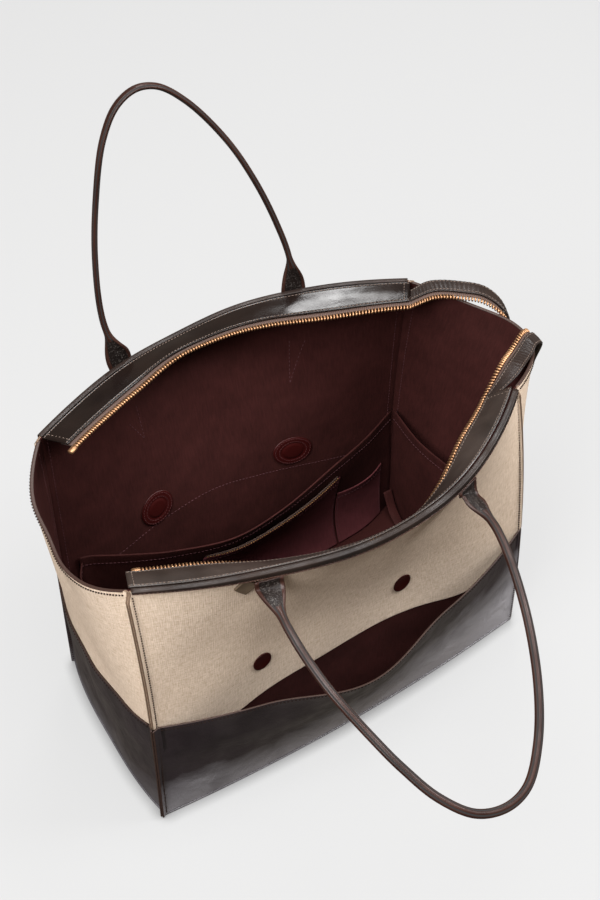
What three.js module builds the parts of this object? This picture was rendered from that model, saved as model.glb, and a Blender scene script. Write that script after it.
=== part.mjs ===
// Open shopper bag: canvas body, leather lower walls, leather handles and a zip mouth.
// Millimetres, +Z up. The origin is the middle of the base, on the floor; -Y is the front.
import * as THREE from 'three';

// Main sizes of the body
const BASE_WIDTH = 400;
const BASE_DEPTH = 206;
const PANEL_HEIGHT = 312;
const LEATHER_HEIGHT = 138;
const CANVAS_FOOT = 100;

// Cloth and leather thicknesses
const LEATHER = 1.8;
const CANVAS = 1.6;
const LINING = 1.0;
const BINDING = 1.0;
const SEAM_GAP = 0.3;

// Raised corner seams, rim parts and zip
const WELT = 5;
const WELT_SHARE = 0.35;
const BINDING_DROP = 5;
const COLLAR_WIDTH = 26;
const TAPE_START = 19;
const TAPE_END = 31;
const TAPE_HIGH = -1;
const TAPE_LOW = -2;
const TEETH_WIDTH = 5;
const TEETH_HEIGHT = 3.2;
const WING_START = 12;
const STOP_LENGTH = 8;

// Columns along each wall, rows up it
const LONG_COLUMNS = 16;
const SHORT_COLUMNS = 10;
const LEATHER_ROWS = [2.3, 30, 60, CANVAS_FOOT - 2, 126, LEATHER_HEIGHT];
const CANVAS_ROWS = [CANVAS_FOOT, 126, LEATHER_HEIGHT, 175, 220, 266, PANEL_HEIGHT];
const POCKET_ROWS = [4, 30, 60, CANVAS_FOOT - 1];
const LINING_ROWS = [4, 30, 60, ...CANVAS_ROWS];

// Face offsets, counted outward from the seam line of a wall
const CANVAS_IN = 0.15;
const CANVAS_OUT = CANVAS_IN + CANVAS;
const OVER_CANVAS = CANVAS_OUT + SEAM_GAP;
const LINING_OUT = -SEAM_GAP;
const LINING_IN = LINING_OUT - LINING;

// Corner posts: place on the base, and how far each leans by the time it reaches the rim
const LEAN_POWER = 2.5;
const HALF_WIDTH = BASE_WIDTH / 2;
const HALF_DEPTH = BASE_DEPTH / 2;
const cornerTable = {
  frontLeft: { x: -HALF_WIDTH, y: -HALF_DEPTH, leanX: -5, leanY: 13, before: 'left', after: 'front' },
  frontRight: { x: HALF_WIDTH, y: -HALF_DEPTH, leanX: -9, leanY: 22, before: 'front', after: 'right' },
  backRight: { x: HALF_WIDTH, y: HALF_DEPTH, leanX: 1, leanY: -15, before: 'right', after: 'back' },
  backLeft: { x: 14 - HALF_WIDTH, y: HALF_DEPTH - 9, leanX: 1, leanY: 4, before: 'back', after: 'left' },
};

// Walls, going round anticlockwise: outward bow at the floor, at the leather's top and at the rim
const wallTable = {
  front: { from: 'frontLeft', to: 'frontRight', floor: 0, middle: -3, rim: 60, skew: 0.28, dip: -14 },
  right: { from: 'frontRight', to: 'backRight', floor: 0, middle: 16, rim: 60, skew: -0.3, dip: -16 },
  back: { from: 'backRight', to: 'backLeft', floor: 8, middle: 12, rim: 63, skew: -0.11, dip: -8 },
  left: {
    from: 'backLeft', to: 'frontLeft', floor: 0, middle: 15, rim: 30, skew: 0, dip: -28, fullness: 3,
  },
  pocket: {
    from: 'frontLeft', to: 'frontRight', floor: 10, middle: 45, rim: 89, skew: 0, dip: 0, lip: 16.6,
  },
};
const LIP_CENTRE = -0.06;
const LIP_REACH = 0.49;
const LIP_DROP = 6.3;
const FOOT_RISE = 3;
const FOOT_SAG = 22;

const materials = {
  canvas: new THREE.MeshStandardMaterial({ color: '#c0ac93', roughness: 0.95, metalness: 0 }),
  leather: new THREE.MeshStandardMaterial({ color: '#2b2422', roughness: 0.38, metalness: 0 }),
  trim: new THREE.MeshStandardMaterial({ color: '#3a2a28', roughness: 0.4, metalness: 0 }),
  lining: new THREE.MeshStandardMaterial({ color: '#45252a', roughness: 0.85, metalness: 0 }),
  patch: new THREE.MeshStandardMaterial({ color: '#4a0f10', roughness: 0.45, metalness: 0 }),
  tape: new THREE.MeshStandardMaterial({ color: '#3a2026', roughness: 0.9, metalness: 0 }),
  brass: new THREE.MeshStandardMaterial({ color: '#b98a5a', roughness: 0.3, metalness: 0.9 }),
};

const bag = new THREE.Group();
const UP = new THREE.Vector3(0, 0, 1);

function spread(count, from = -1, to = 1) {
  return Array.from({ length: count + 1 }, (_, i) => from + ((to - from) * i) / count);
}

// A closed solid from points and triangles, turned so that its faces look outward
function addSolid(name, points, triangles, material) {
  let volume = 0;
  const cross = new THREE.Vector3();
  for (const [a, b, c] of triangles) {
    volume += points[a].dot(cross.crossVectors(points[b], points[c]));
  }
  const faces = volume < 0 ? triangles.map(([a, b, c]) => [a, c, b]) : triangles;
  const geometry = new THREE.BufferGeometry();
  geometry.setAttribute('position', new THREE.Float32BufferAttribute(points.flatMap((p) => p.toArray()), 3));
  geometry.setIndex(faces.flat());
  geometry.computeVertexNormals();
  const mesh = new THREE.Mesh(geometry, material);
  mesh.name = name;
  bag.add(mesh);
}

// A sheet with a face grid on each side, closed round its four edges
function addSheet(name, faceA, faceB, material) {
  const rows = faceA.length;
  const columns = faceA[0].length;
  const points = [...faceA.flat(), ...faceB.flat()];
  const half = rows * columns;
  const triangles = [];
  const quad = (a, b, c, d) => triangles.push([a, b, c], [a, c, d]);
  for (let r = 0; r + 1 < rows; r += 1) {
    for (let c = 0; c + 1 < columns; c += 1) {
      const a = r * columns + c;
      const d = a + columns;
      quad(a, a + 1, d + 1, d);
      quad(half + a, half + d, half + d + 1, half + a + 1);
    }
  }
  const edge = [];
  for (let c = 0; c < columns; c += 1) edge.push(c);
  for (let r = 1; r < rows; r += 1) edge.push(r * columns + columns - 1);
  for (let c = columns - 2; c >= 0; c -= 1) edge.push((rows - 1) * columns + c);
  for (let r = rows - 2; r > 0; r -= 1) edge.push(r * columns);
  edge.forEach((a, i) => {
    const b = edge[(i + 1) % edge.length];
    quad(b, a, half + a, half + b);
  });
  addSolid(name, points, triangles, material);
}

// A bar through a row of rings, with a flat cap on each end
function addBar(name, rings, material) {
  const size = rings[0].length;
  const points = rings.flat();
  const triangles = [];
  for (let r = 0; r + 1 < rings.length; r += 1) {
    for (let k = 0; k < size; k += 1) {
      const a = r * size + k;
      const b = r * size + ((k + 1) % size);
      triangles.push([a, b, b + size], [a, b + size, a + size]);
    }
  }
  const last = (rings.length - 1) * size;
  for (let k = 1; k + 1 < size; k += 1) {
    triangles.push([0, k + 1, k], [last, last + k, last + k + 1]);
  }
  addSolid(name, points, triangles, material);
}

// A flat plate between two heights, inside an outline of plan points
function addPlate(name, outline, low, high, material) {
  const shape = new THREE.Shape(outline);
  const geometry = new THREE.ExtrudeGeometry(shape, { depth: high - low, bevelEnabled: false });
  geometry.translate(0, 0, low);
  const mesh = new THREE.Mesh(geometry, material);
  mesh.name = name;
  bag.add(mesh);
}

// Wall shape
function cornerAt(name, z) {
  const post = cornerTable[name];
  const lean = Math.pow(z / PANEL_HEIGHT, LEAN_POWER);
  return new THREE.Vector2(post.x + post.leanX * lean, post.y + post.leanY * lean);
}

function bowAt(wall, z) {
  const lower = (wall.middle - wall.floor) / LEATHER_HEIGHT;
  const upper = (wall.rim - wall.middle) / (PANEL_HEIGHT - LEATHER_HEIGHT);
  return wall.floor + lower * z + ((upper - lower) / PANEL_HEIGHT) * z * (z - LEATHER_HEIGHT);
}

// A smooth hump, 1 at its centre and 0 beyond its reach
function hump(s, centre, reach) {
  const away = THREE.MathUtils.clamp((s - centre) / reach, -1, 1);
  return Math.cos((away * Math.PI) / 2) ** 2;
}

// How much of the pocket lip's swelling shows at a place on the pocket wall
function lipShare(wall, s, z) {
  return wall.lip ? hump(s, LIP_CENTRE, LIP_REACH) * (z / LEATHER_HEIGHT) ** 2 : 0;
}

function seamLine(wallName, s, z) {
  const wall = wallTable[wallName];
  const from = cornerAt(wall.from, z);
  const along = cornerAt(wall.to, z).sub(from);
  const outward = new THREE.Vector2(along.y, -along.x).normalize();
  const arch = (1 - Math.abs(s) ** (wall.fullness ?? 2)) * (1 + (wall.skew * s * z) / PANEL_HEIGHT);
  const bow = bowAt(wall, z) * arch + (wall.lip ?? 0) * lipShare(wall, s, z);
  return from.addScaledVector(along, (s + 1) / 2).addScaledVector(outward, bow);
}

function seamNormal(wallName, s, z) {
  const step = 0.004;
  const ahead = seamLine(wallName, Math.min(s + step, 1), z);
  const along = ahead.sub(seamLine(wallName, Math.max(s - step, -1), z));
  return new THREE.Vector2(along.y, -along.x).normalize();
}

function heightAt(wallName, s, z) {
  const wall = wallTable[wallName];
  return z + wall.dip * (1 - s * s) * (z / PANEL_HEIGHT) ** 3 - LIP_DROP * lipShare(wall, s, z);
}

function wallPoint(wallName, s, z, offset) {
  const plan = seamLine(wallName, s, z).addScaledVector(seamNormal(wallName, s, z), offset);
  return new THREE.Vector3(plan.x, plan.y, heightAt(wallName, s, z));
}

// A way between the outward ways of the two walls that meet at a corner
function cornerWay(cornerName, z, panelShare) {
  const { before, after } = cornerTable[cornerName];
  const share = (name) => (name === 'front' || name === 'back' ? panelShare : 1);
  const way = seamNormal(before, 1, z).multiplyScalar(share(before));
  return way.addScaledVector(seamNormal(after, -1, z), share(after)).normalize();
}

// The end of a wall's row: mitred into the corner, or turned out along the raised seam
function rowEnd(wallName, end, z, offset, raised) {
  const wall = wallTable[wallName];
  const cornerName = end < 0 ? wall.from : wall.to;
  const corner = cornerAt(cornerName, z);
  const normal = seamNormal(wallName, end, z);
  const inAlong = new THREE.Vector2(normal.y, -normal.x).multiplyScalar(end);
  const lift = (plan) => new THREE.Vector3(plan.x, plan.y, z);
  if (!raised) {
    const between = cornerWay(cornerName, z, 1);
    const mitre = corner.clone().addScaledVector(between, offset / between.dot(normal));
    return [lift(mitre.addScaledVector(inAlong, SEAM_GAP / 2))];
  }
  const welt = cornerWay(cornerName, z, WELT_SHARE);
  const side = new THREE.Vector2(welt.y, -welt.x);
  if (side.dot(inAlong) < 0) side.negate();
  const bend = normal.clone().add(side).normalize();
  const root = corner.clone().addScaledVector(bend, offset / bend.dot(normal));
  const tip = corner.clone().addScaledVector(welt, WELT).addScaledVector(side, offset);
  return [lift(tip), lift(root)];
}

// The front canvas ends in a wavy foot behind the pocket: how far it is from the level foot line
function footLift(s) {
  return FOOT_RISE - FOOT_SAG * Math.sin(Math.PI * s * s) ** 2;
}

function wallRow(wallName, z, offset, columns, raised) {
  const inner = spread(columns).slice(1, -1);
  const start = rowEnd(wallName, -1, z, offset, raised);
  const finish = rowEnd(wallName, 1, z, offset, raised).reverse();
  const wavy = wallName === 'front' && z === CANVAS_FOOT;
  const middle = inner.map((s) => wallPoint(wallName, s, wavy ? z + footLift(s) : z, offset));
  return [...start, ...middle, ...finish];
}

function columnsOf(wallName) {
  return wallName === 'left' || wallName === 'right' ? SHORT_COLUMNS : LONG_COLUMNS;
}

function outlineAt(z, offset, wallNames) {
  const rows = wallNames.map((name) => wallRow(name, z, offset, columnsOf(name), false));
  return rows.flat().map((p) => new THREE.Vector2(p.x, p.y));
}

// Leather base: one flat piece under the walls
const baseOutline = outlineAt(2.3, LEATHER + 1.2, ['pocket', 'right', 'back', 'left']);
addPlate('base_panel', baseOutline, 0, 2, materials.leather);

// Leather lower walls: they lie over the canvas near their top edge and close up below it
function leatherOffset(z) {
  return z > CANVAS_FOOT - 5 ? OVER_CANVAS : CANVAS_IN;
}
const leatherWalls = [
  ['front_leather', 'pocket'],
  ['right_leather', 'right'],
  ['back_leather', 'back'],
  ['left_leather', 'left'],
];
for (const [name, wallName] of leatherWalls) {
  const face = (depth) =>
    LEATHER_ROWS.map((z) => wallRow(wallName, z, leatherOffset(z) + depth, columnsOf(wallName), true));
  addSheet(name, face(0), face(LEATHER), materials.leather);
}

// Canvas upper walls, tucked behind the leather at the foot, with raised seams at the corners
for (const wallName of ['front', 'right', 'back', 'left']) {
  const face = (offset) => CANVAS_ROWS.map((z) => wallRow(wallName, z, offset, columnsOf(wallName), true));
  addSheet(`${wallName}_canvas`, face(CANVAS_IN), face(CANVAS_OUT), materials.canvas);
}

// Lining of the open pocket behind the front leather
const pocketColumns = spread(LONG_COLUMNS).slice(1, -1);
const pocketTop = POCKET_ROWS[POCKET_ROWS.length - 1];
const pocketHeight = (s, z) => (z === pocketTop ? z + footLift(s) : z);
const pocketFace = (offset) =>
  POCKET_ROWS.map((z) => pocketColumns.map((s) => wallPoint('front', s, pocketHeight(s, z), offset)));
addSheet('pocket_lining', pocketFace(CANVAS_IN), pocketFace(CANVAS_IN + LINING), materials.lining);

// Lining of the four walls and the floor
for (const wallName of ['front', 'right', 'back', 'left']) {
  const face = (offset) => LINING_ROWS.map((z) => wallRow(wallName, z, offset, columnsOf(wallName), false));
  addSheet(`${wallName}_lining`, face(LINING_OUT), face(LINING_IN), materials.lining);
}
const floorOutline = outlineAt(2.3, LINING_OUT, ['front', 'right', 'back', 'left']);
addPlate('floor_lining', floorOutline, 2.3, 3.6, materials.lining);

// Inner lining walls with a free top edge, hung from the corners: place of the edge and of the foot
const innerBackTable = [
  { x: -168, edgeY: 94, edgeZ: 146, footY: 89 },
  { x: -158, edgeY: 93, edgeZ: 144, footY: 88 },
  { x: -127, edgeY: 80, edgeZ: 138, footY: 80 },
  { x: -88, edgeY: 61, edgeZ: 136, footY: 75 },
  { x: -30, edgeY: 43, edgeZ: 135, footY: 72 },
  { x: 30, edgeY: 48, edgeZ: 135, footY: 71 },
  { x: 102, edgeY: 66, edgeZ: 137, footY: 72 },
  { x: 150, edgeY: 79, edgeZ: 138, footY: 76 },
  { x: 192, edgeY: 95, edgeZ: 140, footY: 90 },
];
const innerRightTable = [
  { y: 92, edgeX: 196, edgeZ: 140, footX: 194 },
  { y: 46, edgeX: 192, edgeZ: 137, footX: 190 },
  { y: 4, edgeX: 196, edgeZ: 136, footX: 189 },
  { y: -42, edgeX: 200, edgeZ: 138, footX: 190 },
  { y: -84, edgeX: 196, edgeZ: 140, footX: 192 },
];
const innerLeftTable = [
  { y: -84, edgeX: -196, edgeZ: 140, footX: -192 },
  { y: -40, edgeX: -193, edgeZ: 138, footX: -188 },
  { y: 6, edgeX: -186, edgeZ: 137, footX: -184 },
  { y: 50, edgeX: -181, edgeZ: 138, footX: -182 },
  { y: 78, edgeX: -176, edgeZ: 139, footX: -182 },
  { y: 90, edgeX: -168, edgeZ: 142, footX: -180 },
];
const INNER_FOOT = 4;
const INNER_COLUMNS = 14;

// Smooth value of a table's column at a distance along the table's first column
function readTable(table, key, column, at) {
  const points = table.map((row) => new THREE.Vector3(row[key], row[column], 0));
  const down = points[0].x > points[points.length - 1].x;
  let i = 0;
  while (i < points.length - 2 && (down ? at < points[i + 1].x : at > points[i + 1].x)) i += 1;
  const slope = (a, b) => (points[b].y - points[a].y) / (points[b].x - points[a].x);
  const tangent = (k) => slope(Math.max(k - 1, 0), Math.min(k + 1, points.length - 1));
  const width = points[i + 1].x - points[i].x;
  const t = THREE.MathUtils.clamp((at - points[i].x) / width, 0, 1);
  const start = (1 + 2 * t) * (1 - t) ** 2 * points[i].y + t * (1 - t) ** 2 * width * tangent(i);
  return start + t * t * (3 - 2 * t) * points[i + 1].y + t * t * (t - 1) * width * tangent(i + 1);
}

function innerBackPoint(x, rise, depth) {
  const edgeY = readTable(innerBackTable, 'x', 'edgeY', x);
  const edgeZ = readTable(innerBackTable, 'x', 'edgeZ', x);
  const footY = readTable(innerBackTable, 'x', 'footY', x);
  const y = footY + (edgeY - footY) * rise ** 1.6;
  return new THREE.Vector3(x, y - depth, INNER_FOOT + (edgeZ - INNER_FOOT) * rise);
}

function innerSidePoint(table, y, rise, depth) {
  const edgeX = readTable(table, 'y', 'edgeX', y);
  const edgeZ = readTable(table, 'y', 'edgeZ', y);
  const footX = readTable(table, 'y', 'footX', y);
  const x = footX + (edgeX - footX) * rise ** 1.6;
  return new THREE.Vector3(x + depth, y, INNER_FOOT + (edgeZ - INNER_FOOT) * rise);
}

const innerRises = spread(4, 0, 1);
function addInnerWall(name, place, from, to) {
  const columns = spread(INNER_COLUMNS, from, to);
  const face = (depth) => innerRises.map((rise) => columns.map((at) => place(at, rise, depth)));
  addSheet(name, face(0), face(LINING), materials.lining);
}
addInnerWall('inner_back', innerBackPoint, -168, 192);
addInnerWall('inner_right', (y, rise, depth) => innerSidePoint(innerRightTable, y, rise, -depth), 92, -84);
addInnerWall('inner_left', (y, rise, depth) => innerSidePoint(innerLeftTable, y, rise, depth), -84, 90);

// Patch pockets on the inner back wall: a zipped one, and a slip pocket with a sagging mouth
const POCKET_SKIN = LINING + 0.9;
const ZIP_POCKET = { left: -56, right: 112, top: 0.8, swell: 5 };
const SLIP_POCKET = { left: 115, right: 176, top: 0.56, swell: 13 };
function addPatchPocket(name, size) {
  const rises = spread(4, 0.02, size.top);
  const across = spread(8, size.left, size.right);
  const face = (depth) =>
    rises.map((rise) =>
      across.map((x) => {
        const share = (2 * (x - size.left)) / (size.right - size.left) - 1;
        const swell = size.swell * (1 - share * share) * (rise / size.top) ** 2;
        return innerBackPoint(x, rise, POCKET_SKIN + swell + depth);
      })
    );
  addSheet(name, face(0), face(LINING), materials.lining);
}
addPatchPocket('zip_pocket', ZIP_POCKET);
addPatchPocket('slip_pocket', SLIP_POCKET);

// Brass zip along the top of the zipped pocket
const pocketZipRings = spread(10, ZIP_POCKET.left + 2, ZIP_POCKET.right - 2).map((x) => {
  const share = (2 * (x - ZIP_POCKET.left)) / (ZIP_POCKET.right - ZIP_POCKET.left) - 1;
  const swell = ZIP_POCKET.swell * (1 - share * share);
  const root = innerBackPoint(x, ZIP_POCKET.top, POCKET_SKIN + swell);
  root.z += SEAM_GAP;
  const corner = (y, z) => root.clone().add(new THREE.Vector3(0, y, z));
  return [corner(0, 0), corner(-2.6, 0), corner(-2.6, 3), corner(0, 3)];
});
addBar('pocket_zip', pocketZipRings, materials.brass);

// Key strap from the back right corner, lying on the floor
const keyStrapTable = [
  { x: 184, y: 82, z: 34 },
  { x: 183, y: 68, z: 14 },
  { x: 182, y: 52, z: 5.2 },
  { x: 181, y: 34, z: 4.2 },
];
const keyStrapPoints = keyStrapTable.map((row) => new THREE.Vector3(row.x, row.y, row.z));
const keyStrapPath = new THREE.CatmullRomCurve3(keyStrapPoints);
const keyStrapRings = keyStrapPath.getPoints(10).map((p) => {
  const corner = (x, z) => p.clone().add(new THREE.Vector3(x, 0, z));
  return [corner(-5, 0), corner(5, 0), corner(5, 1.4), corner(-5, 1.4)];
});
addBar('key_strap', keyStrapRings, materials.lining);

// Binding over the rim of the front and back walls
const RIM_END = 0.975;
const BINDING_IN = OVER_CANVAS + 0.3;
function rimFrame(wallName, s) {
  const rim = wallPoint(wallName, s, PANEL_HEIGHT, 0);
  const plan = seamNormal(wallName, s, PANEL_HEIGHT);
  return { rim, outward: new THREE.Vector3(plan.x, plan.y, 0) };
}
const bindingProfile = [
  { out: BINDING_IN, up: SEAM_GAP },
  { out: BINDING_IN, up: -BINDING_DROP },
  { out: BINDING_IN + BINDING, up: -BINDING_DROP },
  { out: BINDING_IN + BINDING, up: SEAM_GAP + BINDING },
  { out: LINING_IN - SEAM_GAP, up: SEAM_GAP + BINDING },
  { out: LINING_IN - SEAM_GAP, up: SEAM_GAP },
];
for (const wallName of ['front', 'back']) {
  const rings = spread(LONG_COLUMNS).map((column) => {
    const { rim, outward } = rimFrame(wallName, THREE.MathUtils.clamp(column, -RIM_END, RIM_END));
    const place = (out, up) => rim.clone().addScaledVector(outward, out).addScaledVector(UP, up);
    return bindingProfile.map(({ out, up }) => place(out, up));
  });
  addBar(`${wallName}_binding`, rings, materials.trim);
}

// Collars: leather bands reaching in from the rim, and how steeply they slope down inward along it
const collarTable = {
  front: {
    stopEnd: -1,
    zipStart: -0.94,
    slopes: [
      { s: -1, degrees: 24 },
      { s: -0.7, degrees: 24 },
      { s: -0.4, degrees: 41 },
      { s: 0, degrees: 52 },
      { s: 0.25, degrees: 59 },
      { s: 0.5, degrees: 46 },
      { s: 0.75, degrees: 31 },
      { s: 1, degrees: 40 },
    ],
  },
  back: {
    stopEnd: 1,
    zipStart: 0.995,
    slopes: [
      { s: -1, degrees: -1 },
      { s: -0.65, degrees: 8 },
      { s: -0.3, degrees: -4 },
      { s: 0.05, degrees: -18 },
      { s: 0.25, degrees: -21 },
      { s: 0.55, degrees: -9 },
      { s: 1, degrees: -12 },
    ],
  },
};
const COLLAR_ROOT = LINING_IN - 4 * SEAM_GAP;

// A place across a collar: where it is rooted, and the ways across it and up from it
function collarFrame(wallName, s) {
  const { rim, outward } = rimFrame(wallName, s);
  const slope = THREE.MathUtils.degToRad(readTable(collarTable[wallName].slopes, 's', 'degrees', s));
  const across = outward.clone().multiplyScalar(-Math.cos(slope)).addScaledVector(UP, -Math.sin(slope));
  const lift = outward.clone().multiplyScalar(-Math.sin(slope)).addScaledVector(UP, Math.cos(slope));
  return { root: rim.addScaledVector(outward, COLLAR_ROOT), across, lift };
}

// Wings: both zip halves run on past the panels, over the right wall's rim and down outside it
const wingTable = {
  front: [
    { outerX: 214, outerY: -66, outerZ: 310, teethX: 203, teethY: -43, teethZ: 306 },
    { outerX: 235, outerY: -53, outerZ: 306, teethX: 226, teethY: -30, teethZ: 303 },
    { outerX: 247, outerY: -46, outerZ: 306, teethX: 248, teethY: -20, teethZ: 306 },
    { outerX: 259, outerY: -40, outerZ: 297, teethX: 262, teethY: -14, teethZ: 297 },
    { outerX: 256, outerY: -36, outerZ: 274, teethX: 259, teethY: -10, teethZ: 274 },
    { outerX: 251, outerY: -35, outerZ: 246, teethX: 252, teethY: -9, teethZ: 246 },
  ],
  back: [
    { outerX: 221, outerY: 82, outerZ: 309, teethX: 211, teethY: 57, teethZ: 309 },
    { outerX: 246, outerY: 68, outerZ: 306, teethX: 231, teethY: 46, teethZ: 306 },
    { outerX: 264, outerY: 51, outerZ: 301, teethX: 248, teethY: 32, teethZ: 303 },
    { outerX: 273, outerY: 36, outerZ: 288, teethX: 261, teethY: 12, teethZ: 290 },
    { outerX: 268, outerY: 26, outerZ: 266, teethX: 260, teethY: -1, teethZ: 268 },
    { outerX: 255, outerY: 20, outerZ: 246, teethX: 252, teethY: -6, teethZ: 246 },
  ],
};
const ZIP_REACH = TAPE_END + SEAM_GAP + TEETH_WIDTH;
const WING_STEPS = 16;

function wingFrames(wallName) {
  const start = collarFrame(wallName, -collarTable[wallName].stopEnd);
  const table = wingTable[wallName];
  const outer = [start.root.clone().addScaledVector(start.across, WING_START)];
  const teeth = [start.root.clone().addScaledVector(start.across, ZIP_REACH)];
  for (const row of table) {
    outer.push(new THREE.Vector3(row.outerX, row.outerY, row.outerZ));
    teeth.push(new THREE.Vector3(row.teethX, row.teethY, row.teethZ));
  }
  const outerPath = new THREE.CatmullRomCurve3(outer);
  const teethPath = new THREE.CatmullRomCurve3(teeth);
  const turn = wallName === 'front' ? 1 : -1;
  return spread(WING_STEPS, 0, 1).map((t) => {
    const tip = teethPath.getPoint(t);
    const across = tip.clone().sub(outerPath.getPoint(t)).normalize();
    const way = teethPath.getTangent(t);
    const lift = way.clone().cross(across).multiplyScalar(turn).normalize();
    return { root: tip.addScaledVector(across, -ZIP_REACH), across, lift };
  });
}

function strip(frames, from, to, low, high) {
  return frames.map(({ root, across, lift }) => {
    const corner = (a, t) => root.clone().addScaledVector(across, a).addScaledVector(lift, t);
    return [corner(from, low), corner(to, low), corner(to, high), corner(from, high)];
  });
}

for (const wallName of ['front', 'back']) {
  const { stopEnd, zipStart } = collarTable[wallName];
  const rimFrames = spread(LONG_COLUMNS, stopEnd, -stopEnd).map((s) => collarFrame(wallName, s));
  const wing = wingFrames(wallName);
  const zipColumns = [zipStart, ...spread(LONG_COLUMNS, stopEnd, -stopEnd).slice(1)];
  const zipFrames = [...zipColumns.map((s) => collarFrame(wallName, s)), ...wing.slice(1)];
  addBar(`${wallName}_collar`, strip(rimFrames, 0, COLLAR_WIDTH, 0, LEATHER), materials.leather);
  addBar(`${wallName}_wing`, strip(wing.slice(1), WING_START, COLLAR_WIDTH, 0, LEATHER), materials.leather);
  const tape = strip(zipFrames, TAPE_START, TAPE_END, TAPE_LOW, TAPE_HIGH);
  addBar(`${wallName}_zip_tape`, tape, materials.tape);
  const teethFrom = TAPE_END + SEAM_GAP;
  const teethLow = (TAPE_LOW + TAPE_HIGH - TEETH_HEIGHT) / 2;
  const teeth = strip(zipFrames, teethFrom, ZIP_REACH, teethLow, teethLow + TEETH_HEIGHT);
  addBar(`${wallName}_zip_teeth`, teeth, materials.brass);
  const end = collarFrame(wallName, zipStart);
  const way = end.across.clone().cross(end.lift).normalize();
  if (way.x > 0) way.negate();
  const moved = (reach) => ({ ...end, root: end.root.clone().addScaledVector(way, reach) });
  const stopFrames = [SEAM_GAP, STOP_LENGTH].map(moved);
  const stopHigh = teethLow + TEETH_HEIGHT + 0.3;
  const stop = strip(stopFrames, teethFrom - 0.6, ZIP_REACH + 0.3, teethLow - 0.3, stopHigh);
  addBar(`${wallName}_zip_stop`, stop, materials.brass);
}

// Plain end tab that holds the two zip halves together outside the right wall
const zipEnd = new THREE.Mesh(new THREE.BoxGeometry(4, 44, 30), materials.leather);
zipEnd.position.set(252, -7.5, 230.5);
zipEnd.name = 'zip_end';
bag.add(zipEnd);

// Handles: rolled leather, flattened into spade feet that are sewn under the binding
const FOOT_WIDTH = 25;
const FOOT_THICK = 3;
const FOOT_TAPER = 36;
const HANDLE_STEPS = 44;
const HANDLE_SIDES = 8;
const handleTable = {
  front: {
    feet: [-0.47, 0.5],
    tilt: 112,
    width: 7.8,
    thick: 6.4,
    flat: 6,
    twist: 0,
    outline: [
      { along: -8, out: 45 },
      { along: -4, out: 98 },
      { along: 10, out: 158 },
      { along: 18, out: 184 },
      { along: 31, out: 215 },
      { along: 51, out: 239 },
      { along: 75, out: 246.5 },
      { along: 99, out: 241 },
      { along: 126, out: 216 },
      { along: 154, out: 173 },
      { along: 180, out: 111 },
      { along: 194, out: 48 },
    ],
    tuck: [
      { below: 5.7, out: 3.7 },
      { below: 13, out: 5 },
    ],
  },
  back: {
    feet: [-0.5, 0.44],
    tilt: 10,
    width: 5.4,
    thick: 9.4,
    flat: 22,
    twist: -38,
    outline: [
      { along: 1, out: 36 },
      { along: 11, out: 79 },
      { along: 27, out: 126 },
      { along: 49, out: 173 },
      { along: 82, out: 221 },
      { along: 107, out: 243 },
      { along: 127, out: 247 },
      { along: 146, out: 238 },
      { along: 163, out: 213 },
      { along: 179, out: 163 },
      { along: 190, out: 109 },
      { along: 194, out: 50 },
    ],
    tuck: [
      { below: 20, out: 3.7 },
      { below: 5, out: 5.4 },
    ],
  },
};
for (const wallName of ['front', 'back']) {
  const { feet, tilt, width, thick, flat, twist, outline, tuck } = handleTable[wallName];
  const [first, last] = feet.map((s) => rimFrame(wallName, s));
  const along = last.rim.clone().sub(first.rim).normalize();
  const outward = along.clone().cross(UP).normalize();
  const lean = THREE.MathUtils.degToRad(tilt);
  const rise = UP.clone().multiplyScalar(Math.cos(lean)).addScaledVector(outward, Math.sin(lean));
  const face = along.clone().cross(rise).normalize();
  if (face.dot(outward) < 0) face.negate();
  const origin = first.rim.clone().addScaledVector(first.outward, 4);
  const loopPoint = (row) => origin.clone().addScaledVector(along, row.along).addScaledVector(rise, row.out);
  const loop = outline.map(loopPoint);
  const tucked = ({ rim, outward: out }) =>
    tuck.map((row) => rim.clone().addScaledVector(out, row.out).addScaledVector(UP, -row.below));
  const path = new THREE.CatmullRomCurve3([...tucked(first), ...loop, ...tucked(last).reverse()]);
  const total = path.getLength();
  const rings = spread(HANDLE_STEPS, 0, 1).map((u) => {
    const end = Math.min(u, 1 - u) * total;
    const place = path.getPointAt(u);
    const way = path.getTangentAt(u);
    const foot = u < 0.5 ? first.outward : last.outward;
    const facing = foot.clone().lerp(face, THREE.MathUtils.smoothstep(end, 0, FOOT_TAPER));
    const taper = THREE.MathUtils.smoothstep(end, flat, flat + FOOT_TAPER);
    const turned = twist * taper * Math.cos(Math.PI * u);
    facing.applyAxisAngle(way, THREE.MathUtils.degToRad(turned));
    const wide = way.clone().cross(facing).normalize();
    const deep = wide.clone().cross(way).normalize();
    const wideSize = FOOT_WIDTH + (width - FOOT_WIDTH) * taper;
    const deepSize = FOOT_THICK + (thick - FOOT_THICK) * taper;
    return spread(HANDLE_SIDES, 0, 1).slice(0, -1).map((turn) => {
      const angle = turn * 2 * Math.PI;
      const x = (Math.cos(angle) * wideSize) / 2;
      const y = (Math.sin(angle) * deepSize) / 2;
      return place.clone().addScaledVector(wide, x).addScaledVector(deep, y);
    });
  });
  addBar(`${wallName}_handle`, rings, materials.trim);
}

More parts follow.
